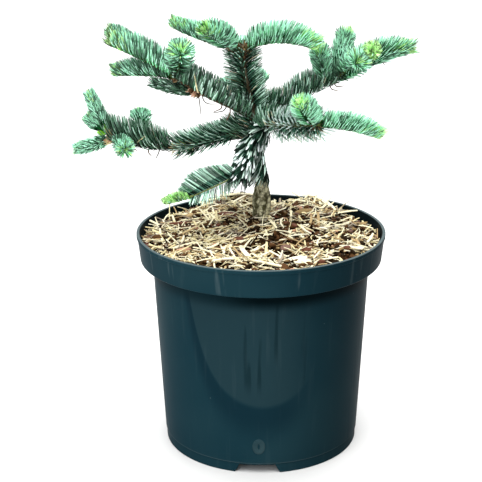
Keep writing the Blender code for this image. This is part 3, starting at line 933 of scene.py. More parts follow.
@dataclass
class Axis:
    """A smooth line through close points."""

    points: np.ndarray

    @staticmethod
    def grown(start: np.ndarray, length: float, heading: float, rise: float, bend: float = 0.0) -> "Axis":
        """An axis that leaves start and turns evenly upward by bend over its length.

        Args:
            start: Its first point.
            length: Its length in metres.
            heading: Its heading round the compass in degrees.
            rise: Its mean rise above the level in degrees.
            bend: How much the rise grows on the way.

        Returns:
            The axis.
        """
        steps = max(4, round(length / (1.5 * MM)))
        tilt = np.radians(rise + bend * ((np.arange(steps) + 0.5) / steps - 0.5))
        turn = math.radians(heading)
        aims = turned(tilt, math.cos(turn) * EAST + math.sin(turn) * NORTH, ZENITH)
        points = start + np.concatenate([np.zeros((1, 3)), np.cumsum(aims, axis=0)]) * (length / steps)
        return Axis(points)

    @property
    def length(self) -> float:
        """Length in metres."""
        return float(np.linalg.norm(np.diff(self.points, axis=0), axis=1).sum())

    def at(self, share: "float | np.ndarray") -> tuple[np.ndarray, np.ndarray]:
        """Where the axis is at shares of its length.

        Args:
            share: The shares.

        Returns:
            Points and tangents.
        """
        place = np.clip(np.asarray(share, float), 0.0, 1.0) * (len(self.points) - 1)
        first = np.minimum(place.astype(int), len(self.points) - 2)
        step = self.points[first + 1] - self.points[first]
        return self.points[first] + (place - first)[..., None] * step, unit(step)

    def frames(self, share: np.ndarray) -> tuple[np.ndarray, np.ndarray, np.ndarray, np.ndarray]:
        """Frames at shares of the length.

        Args:
            share: The shares.

        Returns:
            Points, tangents, upward normals and sideways normals.
        """
        point, along = self.at(share)
        up = unit(ZENITH - along[:, 2:3] * along)
        return point, along, up, np.cross(along, up)


# Radius of a twig's foot: on the bough, where others leave its end, elsewhere, and with two rows.
STEM_RADIUS, FORKED_RADIUS, END_RADIUS, FLAT_RADIUS = 1.9 * MM, 1.5 * MM, 1.25 * MM, 0.7 * MM
TWIG_TAPER = 0.7
FORK_SHARE = 0.9
BOUGH_FOOT = 2.7 * MM
BOUGH_TIP = 2.3 * MM
FARTHEST = 0.99


@dataclass(frozen=True)
class Shoot:
    """A twig grown in place."""

    twig: Twig
    axis: Axis
    foot_radius: float
    tip_radius: float
    ends: bool

    @property
    def coat(self) -> "Coat":
        """How its needles stand."""
        return COATS[self.twig.habit]

    def radius(self, share: np.ndarray) -> np.ndarray:
        """Radius of the twig's wood."""
        return self.foot_radius + (self.tip_radius - self.foot_radius) * share


def bough_axis(bough: Bough) -> Axis:
    """Axis of a bough from the middle of the trunk to its tip."""
    start, first = trunk_at(bough.height * MM)[0], bough.twigs[0]
    return Axis.grown(start, bough.length * MM, first.heading, first.rise - first.bend / 2)


def shoots_of(bough: Bough) -> list[Shoot]:
    """All the twigs of a bough's mass.

    Args:
        bough: The bough.

    Returns:
        Its twigs, grown in place.
    """
    start = bough_axis(bough).points[-1] if bough.length else trunk_at(bough.height * MM)[0]
    axes = {"foot": bough_axis(bough)} if bough.length else {}
    found = []
    for twig in bough.twigs:
        foot = axes[twig.leaves].at(twig.at)[0] if twig.leaves else start
        axes[twig.name] = Axis.grown(foot, twig.length * MM, twig.heading, twig.rise, twig.bend)
        ends = not any(other.leaves == twig.name and other.at >= FORK_SHARE for other in bough.twigs)
        thick = STEM_RADIUS if not twig.leaves else END_RADIUS if ends else FORKED_RADIUS
        if twig.habit is Habit.FEATHER:
            thick = FLAT_RADIUS
        found.append(Shoot(twig, axes[twig.name], thick, TWIG_TAPER * thick, ends))
    return found


# Needles


@dataclass(frozen=True)
class Coat:
    """How needles stand on a twig, in millimetres and degrees.

    Roots and ends lie up to so far round from the twig's upper side, and leans are measured from the
    twig's own direction. A needle leaves at the first lean and bends toward the second.
    """

    per_mm: float
    roots: float
    ends: float
    lean_start: float
    lean_foot: float
    lean_tip: float
    lift: float
    length: float = 16.0
    width: float = 0.95
    thickness: float = 0.5
    foot_share: float = 0.85
    tip_share: float = 0.8
    crowding: float = 1.0
    dry_share: float = 0.0
    cap: int = 90
    cap_length: float = 0.7
    cap_lean: float = 80.0
    cap_middle: float = 0.7
    aged_foot: float = 0.45
    newest: float = 0.35
    parting: float = 0.0
    drift: float = 0.0
    row_turn: float = 0.0
    dull: float = 0.42
    dull_age: Age = Age.MATURE


COATS = {
    Habit.BRUSH: Coat(
        11.0, 128, 44, 42, 74, 34, 0.3, length=17.0, tip_share=0.72, cap=110, aged_foot=0.25, newest=0.5
    ),
    Habit.ROUND: Coat(
        12.0, 180, 110, 40, 66, 30, 0.24, length=16.5, tip_share=0.62, cap=110, cap_length=0.55,
        aged_foot=0.2, newest=0.6,
    ),
    Habit.TUFT: Coat(
        12.0, 180, 120, 24, 42, 36, 0.3, length=17.0, foot_share=0.7, tip_share=0.66, cap=150,
        cap_length=0.8, cap_lean=74.0, cap_middle=1.12, aged_foot=0.2, newest=0.15,
    ),
    Habit.ROSETTE: Coat(
        10.0, 180, 165, 34, 46, 76, 0.34, length=16.5, width=0.9, foot_share=0.42, crowding=1.9, cap=150,
        cap_length=0.95, cap_lean=98.0, aged_foot=1.0, newest=0.14,
    ),
    Habit.SPIKE: Coat(
        14.0, 180, 150, 24, 40, 25, 0.16, length=12.5, cap_length=0.6, aged_foot=0.25, newest=0.2
    ),
    Habit.OLD: Coat(
        8.5, 125, 48, 50, 78, 60, 0.2, length=16.5, width=1.05, foot_share=0.75, dry_share=0.02, dull=0.62,
    ),
    Habit.DROOP: Coat(
        7.5, 180, 150, 28, 36, 26, -0.4, length=18.0, width=1.7, foot_share=1.0, tip_share=1.0, cap=0,
        drift=0.34, dull=0.6, dull_age=Age.SHADED,
    ),
    Habit.APRON: Coat(
        8.5, 180, 180, 42, 34, 24, -0.72, length=18.0, width=1.7, foot_share=1.0, tip_share=1.0, cap=0,
        drift=1.1, dull=0.62, dull_age=Age.SHADED,
    ),
    Habit.FEATHER: Coat(
        7.5, 52, 34, 50, 66, 48, 0.02, length=17.5, width=1.05, foot_share=0.66, tip_share=0.6, cap=24,
        row_turn=36.0, dull=0.3,
    ),
    Habit.SHAG: Coat(
        8.0, 125, 100, 52, 68, 56, 0.04, length=15.5, width=1.05, foot_share=0.9, cap=24, dull=0.4,
    ),
    Habit.SPRAY: Coat(
        7.0, 180, 150, 44, 62, 46, -0.04, length=17.0, width=1.15, foot_share=1.0, cap=0, dull=0.14,
        dry_share=0.02,
    ),
    Habit.SLEEVE: Coat(
        12.0, 180, 180, 52, 64, 74, 0.1, length=16.0, width=0.95, dry_share=0.03, cap=0, parting=14.0,
    ),
}


@dataclass
class Foliage:
    """The needles of one mass, as one joined piece.

    Errors are in degrees and spreads are factors. A pair of places is where a change starts and where
    it is full, as shares of the twig. A steep twig has no upper side, so its needles stand all round.
    """

    name: str
    wander: np.random.Generator
    dark: float = 0.33
    length_spread: Span = (0.93, 1.04)
    width_spread: Span = (0.85, 1.15)
    cap_spread: Span = (0.92, 1.08)
    turn_error: float = 3.0
    lean_error: float = 3.0
    roll_error: float = 0.4
    lean_curve: float = 1.6
    steep: Span = (0.6, 0.95)
    lengthening: Span = (0.0, 0.4)
    shortening: Span = (0.55, 1.0)
    greening: Span = (0.65, 1.0)
    ageing: Span = (0.0, 0.75)
    root_sunk: float = 0.75
    lower_row: float = 0.68
    lower_limit: float = -0.58
    bloomed_share: float = 0.2
    young_share: float = 0.05
    cap_reach: float = 0.07
    cap_turn: float = 62.0
    cap_start: float = 0.6
    cap_lift: float = 1.5
    cap_upright: float = 0.24
    cap_width: float = 0.95
    newest_error: float = 0.15
    rows: list[Blades] = field(default_factory=list)

    def slots(self, age: np.ndarray) -> np.ndarray:
        """First slot of each needle's four tones in the palette, its shade drawn at random.

        Args:
            age: Each needle's place among the ages.

        Returns:
            The slots.
        """
        chances = (self.dark, (1 - self.dark) / 2, (1 - self.dark) / 2)
        shade = self.wander.choice(len(SHADES), len(age), p=chances)
        return (age * len(SHADES) + shade) * len(NEEDLE_PARTS)

    def ages(self, shoot: Shoot, share: np.ndarray) -> np.ndarray:
        """Ages of needles: older at a twig's foot, newer at its tip.

        Args:
            shoot: The twig.
            share: Each needle's place along the twig.

        Returns:
            Each needle's place among the ages.
        """
        own, coat = shoot.twig.age, shoot.coat
        age = np.full(len(share), AGES.index(own))
        draw = self.wander.random(len(share))
        if own is Age.YOUNG:
            age[draw < smooth_step(share, *self.greening) * coat.newest] = AGES.index(Age.NEW)
            aged = (1 - smooth_step(share, *self.ageing)) * coat.aged_foot
            age[draw > 1 - aged] = AGES.index(Age.MATURE)
        elif own is Age.NEW:
            age[draw < self.young_share] = AGES.index(Age.YOUNG)
        elif own in (Age.BLOOMED, Age.FROSTED):
            age[draw < coat.dull] = AGES.index(coat.dull_age)
        elif own is Age.MATURE:
            age[draw < self.bloomed_share] = AGES.index(Age.BLOOMED)
        age[self.wander.random(len(share)) < coat.dry_share] = AGES.index(Age.DRY)
        return age

    def turns(self, coat: Coat, own: np.ndarray, steep: np.ndarray) -> tuple[np.ndarray, np.ndarray]:
        """How far round the twig's upper side needles are rooted, and point in the end.

        Args:
            coat: How the needles stand.
            own: Each needle's own share of the way round, from -1 to 1.
            steep: 1 where the twig is upright, so that it has no upper side.

        Returns:
            Both turns, in radians.
        """
        error = self.wander.normal(0, self.turn_error, len(own))
        if coat.row_turn:
            row = np.where(own < self.lower_limit, coat.row_turn + 180, coat.row_turn)
            within = 2 * np.abs(own) - 1
            return np.radians(row + within * coat.roots), np.radians(row + within * coat.ends + error)
        roots, ends = (own * (most + (180 - most) * steep) for most in (coat.roots, coat.ends))
        return np.radians(roots), np.radians(ends + error)

    def grow(self, shoot: Shoot) -> None:
        """Needles along a twig, by the golden angle.

        Args:
            shoot: The twig.
        """
        coat, draw, bare, total = shoot.coat, self.wander, shoot.twig.bare * MM, shoot.axis.length
        count = max(4, round((total - bare) / MM * coat.per_mm))
        index = np.arange(count)
        place = 1 - (1 - (index + draw.random(count)) / count) ** coat.crowding
        share = np.minimum(bare / total + (1 - bare / total) * place, FARTHEST)
        point, along, up, across = shoot.axis.frames(share)
        own = golden(index)
        parted = np.sign(own + 0.5) * coat.parting / 180 * (1 - np.abs((own + 0.5 + 1) % 2 - 1))
        own = (own + parted + 1) % 2 - 1
        root_turn, end_turn = self.turns(coat, own, smooth_step(np.abs(along[:, 2]), *self.steep))
        root_out, end_out = turned(root_turn, up, across), turned(end_turn, up, across)
        lean = coat.lean_foot + share**self.lean_curve * (coat.lean_tip - coat.lean_foot)
        lean = np.radians(lean + draw.normal(0, self.lean_error, count))
        length = coat.length * MM * shoot.twig.needle * draw.uniform(*self.length_spread, count)
        length *= coat.foot_share + (1 - coat.foot_share) * smooth_step(share, *self.lengthening)
        if shoot.ends or coat.row_turn:
            length *= 1 - (1 - coat.tip_share) * smooth_step(share, *self.shortening)
        if coat.row_turn:
            length *= np.where(own < self.lower_limit, self.lower_row, 1.0)
        pull, start_lean = coat.lift * ZENITH - coat.drift * EAST, math.radians(coat.lean_start)
        self.rows.append(Blades(
            root=point + (self.root_sunk * shoot.radius(share))[:, None] * root_out,
            start=unit(math.cos(start_lean) * along + math.sin(start_lean) * root_out),
            end=unit(turned(lean, along, end_out) + pull),
            length=length,
            width=coat.width * MM * draw.uniform(*self.width_spread, count),
            thickness=coat.thickness * MM * draw.uniform(*self.width_spread, count),
            face=root_out,
            roll=draw.normal(0, self.roll_error, count),
            tone=self.slots(self.ages(shoot, share)),
        ))

    def close_tip(self, shoot: Shoot) -> None:
        """A dome of shorter needles round a growing tip, the newest in its middle.

        Args:
            shoot: The twig.
        """
        coat, draw, count = shoot.coat, self.wander, shoot.coat.cap
        rank = (np.arange(count) + 0.5) / count
        lean = np.arccos(1 - rank * (1 - math.cos(math.radians(coat.cap_lean))))
        point, along, up, across = shoot.axis.frames(FARTHEST - self.cap_reach * rank)
        turn = golden(np.arange(count)) * math.radians(min(180.0, coat.ends + self.cap_turn))
        out = turned(turn, up, across)
        end = unit(turned(lean, along, out + self.cap_lift * coat.lift * ZENITH))
        newest = rank + draw.normal(0, self.newest_error, count) < coat.newest
        age = np.where(newest, AGES.index(Age.NEW), AGES.index(Age.YOUNG))
        if shoot.twig.age in (Age.MATURE, Age.BLOOMED, Age.NEW):
            age[:] = AGES.index(shoot.twig.age)
        length = coat.length * MM * shoot.twig.needle * coat.cap_length
        length = length * (coat.cap_middle + (1 - coat.cap_middle) * rank)
        length = length * (1 - self.cap_upright + self.cap_upright * end[:, 2])
        self.rows.append(Blades(
            root=point,
            start=unit(turned(self.cap_start * lean, along, out)),
            end=end,
            length=length * draw.uniform(*self.cap_spread, count),
            width=np.full(count, self.cap_width * coat.width * MM),
            thickness=np.full(count, coat.thickness * MM),
            face=out,
            roll=draw.normal(0, self.roll_error, count),
            tone=self.slots(age),
        ))

    def piece(self, finishes: Sequence[bpy.types.Material]) -> bpy.types.Object:
        """Makes the joined needles: their roots, outer and inner sides and tips each in a tone.

        Args:
            finishes: The needle palette's materials.

        Returns:
            The piece.
        """
        root, outer, inner, tip = range(len(NEEDLE_PARTS))
        blades, corners, bands = Blades.joined(self.rows), NEEDLE_FORM.corners, len(NEEDLE_FORM.stations) - 1
        part = np.tile([outer, outer, inner, inner], (bands, 1))
        part[0], part[-1] = root, tip
        first = blades.tone[:, None]
        tones = (first + part.ravel(), first + np.repeat([root, tip], corners))
        gathering = Gathering()
        gathering.add_copies(NEEDLE_FORM.points(blades), NEEDLE_FORM.faces(), tones)
        return gathering.piece(f"fir_needles_{self.name}", finishes, "needles", [f"needles_{self.name}"])


@dataclass
class Crown:
    """All the boughs with their twigs and needles."""

    boughs: tuple[Bough, ...] = BOUGHS
    leader_foot: float = 235.0 * MM
    leader_top: float = 304.0 * MM
    leader_points: int = 40
    leader_bloom: float = 0.52
    bough_bare: float = 4.5
    twig_sides: int = 10
    twig_step: float = 1.2 * MM
    twig_rough: float = 0.06
    old_wood: Tone = Tone("twig_bark_old", (0.07, 0.045, 0.022), 0.8, 0.1)
    young_wood: Tone = Tone("twig_bark_young", (0.15, 0.19, 0.06), 0.7, 0.1)

    def leader(self) -> Shoot:
        """The upper trunk as an axis with old needles on it."""
        middles, radii = trunk_at(np.linspace(self.leader_foot, self.leader_top, self.leader_points))
        twig = Twig("leader", "", 0, 0, 0, 90, age=Age.MATURE, habit=Habit.SLEEVE, bare=0.0)
        return Shoot(twig, Axis(middles), float(radii[0]), float(radii[-1]), False)

    def foot(self, bough: Bough) -> Shoot:
        """The bough itself as a needle-bearing axis, bare where it leaves the trunk.

        Args:
            bough: The bough.

        Returns:
            Its axis with old needles on it.
        """
        front = bough.twigs[0].habit is Habit.DROOP
        habit, age = (Habit.DROOP, Age.FROSTED) if front else (Habit.OLD, Age.MATURE)
        twig = Twig("foot", "", 0, bough.length, 0, 0, age=age, habit=habit, bare=self.bough_bare)
        return Shoot(twig, bough_axis(bough), BOUGH_FOOT, BOUGH_TIP, False)

    def build_needles(self) -> list[bpy.types.Object]:
        """The needles of each mass.

        Returns:
            One joined piece for each.
        """
        finishes = [tone.material() for tone in needle_palette()]
        pieces = []
        for index, bough in enumerate(self.boughs):
            mass = Foliage(bough.name, np.random.default_rng(SEED + index), bough.dark)
            for shoot in ([self.foot(bough)] if bough.length else []) + shoots_of(bough):
                mass.grow(shoot)
                if shoot.ends and shoot.coat.cap:
                    mass.close_tip(shoot)
            pieces.append(mass.piece(finishes))
        wander = np.random.default_rng(SEED + len(self.boughs))
        sleeve = Foliage("leader", wander, bloomed_share=self.leader_bloom)
        sleeve.grow(self.leader())
        return [*pieces, sleeve.piece(finishes)]

    def build_twigs(self) -> bpy.types.Object:
        """The wood inside the needles, as one joined piece.

        Returns:
            The piece.
        """
        wander = np.random.default_rng(SEED)
        gathering = Gathering()
        for shoot in (shoot for bough in self.boughs for shoot in shoots_of(bough)):
            rings = max(4, round(shoot.axis.length / self.twig_step))
            share = np.linspace(0, FARTHEST, rings)
            point, _, up, across = shoot.axis.frames(share)
            rough = 1 + wander.normal(0, self.twig_rough, (rings, self.twig_sides))
            radius = shoot.radius(share)[:, None] * rough
            out = turned(ring_turns(self.twig_sides), up[:, None], across[:, None])
            old = shoot.twig.age in (Age.MATURE, Age.BLOOMED) and shoot.twig.habit is not Habit.FEATHER
            add_tube(gathering, point[:, None] + radius[..., None] * out, 0 if old else 1)
        names = [f"needles_{bough.name}" for bough in self.boughs]
        finishes = [self.old_wood.material(), self.young_wood.material()]
        return gathering.piece("fir_twigs", finishes, "needles", names, smooth=True)

    def build(self) -> list[bpy.types.Object]:
        """The twigs and the needles."""
        return [self.build_twigs(), *self.build_needles()]


# Litter on the boughs


class Papery(Enum):
    """Kinds of dry or waxy scraps among the twigs, with their colours."""

    BROWN = (0.11, 0.055, 0.026)
    TAN = (0.42, 0.29, 0.15)
    PEACH = (0.76, 0.44, 0.3)
    CREAM = (0.82, 0.74, 0.43)
    LIME = (0.33, 0.72, 0.07)
    WHITE = (0.82, 0.9, 0.8)
    HAIR = (0.1, 0.085, 0.075)


PAPERIES = tuple(Papery)
STUB_KINDS = (Papery.BROWN, Papery.TAN)
BUD_KINDS = (Papery.BROWN, Papery.TAN, Papery.BROWN)


@dataclass(frozen=True)
class Wisp:
    """A thin strand that starts on a twig and goes on through offsets from there, in millimetres."""

    kind: Papery
    bough: str
    twig: str
    at: float
    offsets: tuple[Triple, ...]
    width: float = 0.45


@dataclass(frozen=True)
class ScaleTuft:
    """Bud scales or stubs on a stretch of a twig, in millimetres and degrees.

    They stand up to spread round from turn, which is 0 on the twig's upper side. With no twig they
    are on the trunk, at a height.
    """

    bough: str
    twig: str
    at: float
    reach: float
    kinds: tuple[Papery, ...]
    count: int
    length: float = 3.2
    turn: float = 0.0
    spread: float = 180.0
    width: float = 0.42


WISPS = (
    Wisp(Papery.CREAM, "left_upper", "stem", 0.6, ((0, -11, 0.5), (-1, -14, 6), (-2.5, -14, 16)), 1.1),
    Wisp(Papery.HAIR, "left_upper", "low", 0.04, ((1.2, -2, -8), (2, -2.5, -17)), 0.85),
    Wisp(Papery.HAIR, "left_upper", "stem", 0.54, ((0.5, -3, -5), (4, -3, -8), (11, -2, -8)), 0.85),
    Wisp(Papery.BROWN, "left_upper", "stem", 0.22, ((-1, -3, -4), (-6.5, -4, -6)), 0.95),
    Wisp(Papery.HAIR, "left_upper", "stem", 0.14, ((-3, -3, -4), (-11, -4, -5)), 0.9),
    Wisp(Papery.BROWN, "left_upper", "stem", 0.1, ((0, -4, -5), (-3, -5, -10)), 1),
    Wisp(Papery.CREAM, "left_middle", "outer", 0.62, ((0.5, -9, 3.5), (6.5, -12, 8.5)), 1),
    Wisp(Papery.BROWN, "left_middle", "outer", 0.45, ((-1, -2, -5), (1.5, -2, -8)), 1),
    Wisp(Papery.HAIR, "left_middle", "outer", 0.3, ((-1, -2, -4), (-3.5, -2, -9)), 0.95),
    Wisp(Papery.BROWN, "left_middle", "outer", 0.7, ((1, -2, -4.5), (4, -2, -6)), 1),
    Wisp(Papery.BROWN, "right_upper", "stem", 0.9, ((2, -3, -4.5), (7, -4, -5.5)), 0.9),
    Wisp(Papery.BROWN, "right_upper", "stem", 0.96, ((3, -3, -4), (9, -4, -3)), 0.9),
    Wisp(Papery.HAIR, "right_upper", "outer", 0.62, ((2, -2, -3), (5, -3, -7)), 0.85),
    Wisp(Papery.BROWN, "right_lower", "stem", 0.8, ((1, -2, -4), (-2.5, -3, -8.5)), 1),
    Wisp(Papery.CREAM, "front", "tip", 0.88, ((0, -3, -3), (-0.3, -3.5, -12)), 0.75),
)

TUFTS = (
    ScaleTuft("left_middle", "inner", 0.84, 7, (Papery.CREAM, Papery.LIME, Papery.CREAM), 60,
              8.5, 0, 110, 0.11),
    ScaleTuft("left_middle", "outer", 0.07, 4.5, (Papery.CREAM, Papery.TAN, Papery.CREAM), 34,
              6, 0, 180, 0.16),
    ScaleTuft("left_middle", "outer", 0.985, 2.5, (Papery.PEACH, Papery.CREAM, Papery.CREAM), 60, 9, -70, 60),
    ScaleTuft("left_middle", "fan", 0.36, 1.6, (Papery.LIME,), 34, 6.5),
    ScaleTuft("right_lower", "stem", 0.985, 4.5, (Papery.BROWN, Papery.PEACH, Papery.TAN), 60, 5.5),
    ScaleTuft("left_upper", "stem", 0.62, 5, (Papery.TAN, Papery.PEACH, Papery.BROWN), 44, 6, 150, 110),
    ScaleTuft("left_upper", "stem", 0.96, 4, STUB_KINDS, 26, 3.4),
    ScaleTuft("right_upper", "stem", 0.97, 4, STUB_KINDS, 22, 3.4, 180, 120),
    ScaleTuft("top_right", "arch", 0.04, 3, BUD_KINDS, 34, 4.2),
    ScaleTuft("top_left", "back", 0.06, 3.5, BUD_KINDS, 40, 4.6),
    ScaleTuft("top_left", "front", 0.08, 4, BUD_KINDS, 50, 4.6),
    ScaleTuft("", "", 302, 5, BUD_KINDS, 70, 4.4),
    ScaleTuft("", "", 249, 7, BUD_KINDS, 80, 3.4),
    ScaleTuft("top_left", "front", 0.78, 8, (Papery.WHITE,), 12, 4.6, 180, 70),
    ScaleTuft("right_upper", "front", 0.86, 4, (Papery.WHITE,), 10, 4.2, 180, 70),
    ScaleTuft("back_upper", "stem", 0.96, 3.5, STUB_KINDS, 16, 3.2),
    ScaleTuft("back_right", "stem", 0.97, 3.5, (Papery.BROWN, Papery.PEACH), 16, 3.2),
    ScaleTuft("back_left", "stem", 0.97, 3.5, STUB_KINDS, 16, 3.2),
)


@dataclass
class Litter:
    """Bud scales, stubs, dead needles and hairs that cling to the twigs and the trunk."""

    wisps: tuple[Wisp, ...] = WISPS
    tufts: tuple[ScaleTuft, ...] = TUFTS
    sides: int = 6
    rings: int = 9
    trunk_points: int = 12
    scale_thickness: float = 0.3 * MM
    scale_lengths: Span = (0.6, 1.15)
    scale_widths: Span = (0.7, 1.2)
    scale_leans: Span = (0.2, 1.3)
    scale_stray: float = 0.25
    scale_roll: float = 0.4
    scale_sunk: float = 0.8
    wisp_taper: float = 0.5
    gathering: Gathering = field(default_factory=Gathering)
    wander: np.random.Generator = field(default_factory=lambda: np.random.default_rng(SEED + 5))
    shoots: dict[tuple[str, str], Shoot] = field(init=False)

    def __post_init__(self) -> None:
        """Grows the twigs that carry it."""
        self.shoots = {(bough.name, shoot.twig.name): shoot for bough in BOUGHS for shoot in shoots_of(bough)}

    def carrier(self, tuft: ScaleTuft) -> tuple[Axis, np.ndarray, float]:
        """What carries a tuft.

        Args:
            tuft: The tuft.

        Returns:
            The axis, the lowest and highest share of it, and its radius.
        """
        ends = np.array([-tuft.reach, tuft.reach])
        if not tuft.twig:
            middles, radii = trunk_at(np.linspace(*((ends + tuft.at) * MM), self.trunk_points))
            return Axis(middles), np.array([0.0, 1.0]), float(radii.mean())
        shoot = self.shoots[tuft.bough, tuft.twig]
        share = np.clip(tuft.at + ends * MM / shoot.axis.length, 0.0, 1.0)
        return shoot.axis, share, float(shoot.radius(np.array(tuft.at)))

    def add_tuft(self, tuft: ScaleTuft) -> None:
        """Adds the scales of one tuft.

        Args:
            tuft: The tuft.
        """
        axis, ends, radius = self.carrier(tuft)
        wander, count = self.wander, tuft.count
        point, along, up, across = axis.frames(wander.uniform(*ends, count))
        turn = np.radians(tuft.turn + wander.uniform(-tuft.spread, tuft.spread, count))
        out = turned(turn, up, across)
        lean = wander.uniform(*self.scale_leans, (count, 1))
        blades = Blades(
            root=point + self.scale_sunk * radius * out,
            start=unit(0.5 * along + out),
            end=unit(lean * along + out + wander.normal(0, self.scale_stray, (count, 3))),
            length=tuft.length * MM * wander.uniform(*self.scale_lengths, count),
            width=tuft.width * tuft.length * MM * wander.uniform(*self.scale_widths, count),
            thickness=np.full(count, self.scale_thickness),
            face=out,
            roll=wander.normal(0, self.scale_roll, count),
            tone=wander.choice([PAPERIES.index(kind) for kind in tuft.kinds], count),
        )
        tones = blades.tone[:, None]
        self.gathering.add_copies(SCALE_FORM.points(blades), SCALE_FORM.faces(), (tones, tones))

    def add_wisp(self, wisp: Wisp) -> None:
        """Adds one strand as a thin tube.

        Args:
            wisp: The strand.
        """
        start = self.shoots[wisp.bough, wisp.twig].axis.at(wisp.at)[0]
        corners = start + np.array([(0.0, 0.0, 0.0), *wisp.offsets]) * MM
        share, knots = (np.linspace(0, 1, count) for count in (self.rings, len(corners)))
        line = np.stack([np.interp(share, knots, column) for column in corners.T], axis=1)
        line[1:-1] = (line[:-2] + 2 * line[1:-1] + line[2:]) / 4
        aim = unit(np.gradient(line, axis=0))
        side = unit(np.cross(aim, NORTH + 0.1 * EAST))
        radius = 0.5 * wisp.width * MM * (1 - self.wisp_taper * share**3)[:, None, None]
        ring = turned(ring_turns(self.sides), side[:, None], np.cross(aim, side)[:, None])
        add_tube(self.gathering, line[:, None] + radius * ring, PAPERIES.index(wisp.kind))

    def build(self) -> list[bpy.types.Object]:
        """All of it, as one joined piece.

        Returns:
            The piece.
        """
        for tuft in self.tufts:
            self.add_tuft(tuft)
        for wisp in self.wisps:
            self.add_wisp(wisp)
        tones = [Tone(f"litter_{kind.name.lower()}", kind.value, 0.7, 0.15) for kind in PAPERIES]
        names = sorted({f"needles_{item.bough or 'leader'}" for item in (*self.tufts, *self.wisps)})
        return [self.gathering.piece("fir_bud_scales", [tone.material() for tone in tones], "needles", names)]


# Bark


@dataclass(frozen=True)
class Scales:
    """Bark scales between cracks: a scale's size and the distance once round the limb, in metres."""

    size: float
    girth: float
    height_share: float = 0.75
    width_share: float = 1.35
    roundness: float = 0.62
    crack_share: float = 0.28

    def cracks(self, along: np.ndarray, sides: int, seed: int) -> np.ndarray:
        """How near each point of a limb is to a crack between scales.

        Args:
            along: Place of each ring along the limb.
            sides: Points in a ring.
            seed: Random seed.

        Returns:
            Rings by points: 1 in a crack, 0 on a scale.
        """
        wander = np.random.default_rng(seed)
        girth, step = self.girth, self.height_share * self.size
        around = ring_turns(sides) / (2 * math.pi) * girth
        rows = max(2, round((along.max() - along.min()) / step))
        columns = max(3, round(girth / (self.width_share * self.size)))
        row, column = np.meshgrid(np.arange(rows + 2), np.arange(columns), indexing="ij")
        risen = (row - 0.5 + wander.uniform(-0.5, 0.5, row.shape)) * self.height_share * self.size
        seeds_up = (along.min() + risen).ravel()
        shifted = column + 0.5 * (row % 2) + wander.uniform(-0.5, 0.5, row.shape)
        gap = np.abs(around[:, None] - (shifted * girth / columns).ravel())
        gap = np.minimum(gap % girth, girth - gap % girth) * self.roundness
        away = np.sqrt(gap[None] ** 2 + (along[:, None, None] - seeds_up) ** 2)
        nearest = np.partition(away, 1, axis=2)[..., :2]
        return 1 - smooth_step(nearest[..., 1] - nearest[..., 0], 0.0, self.crack_share * self.size)


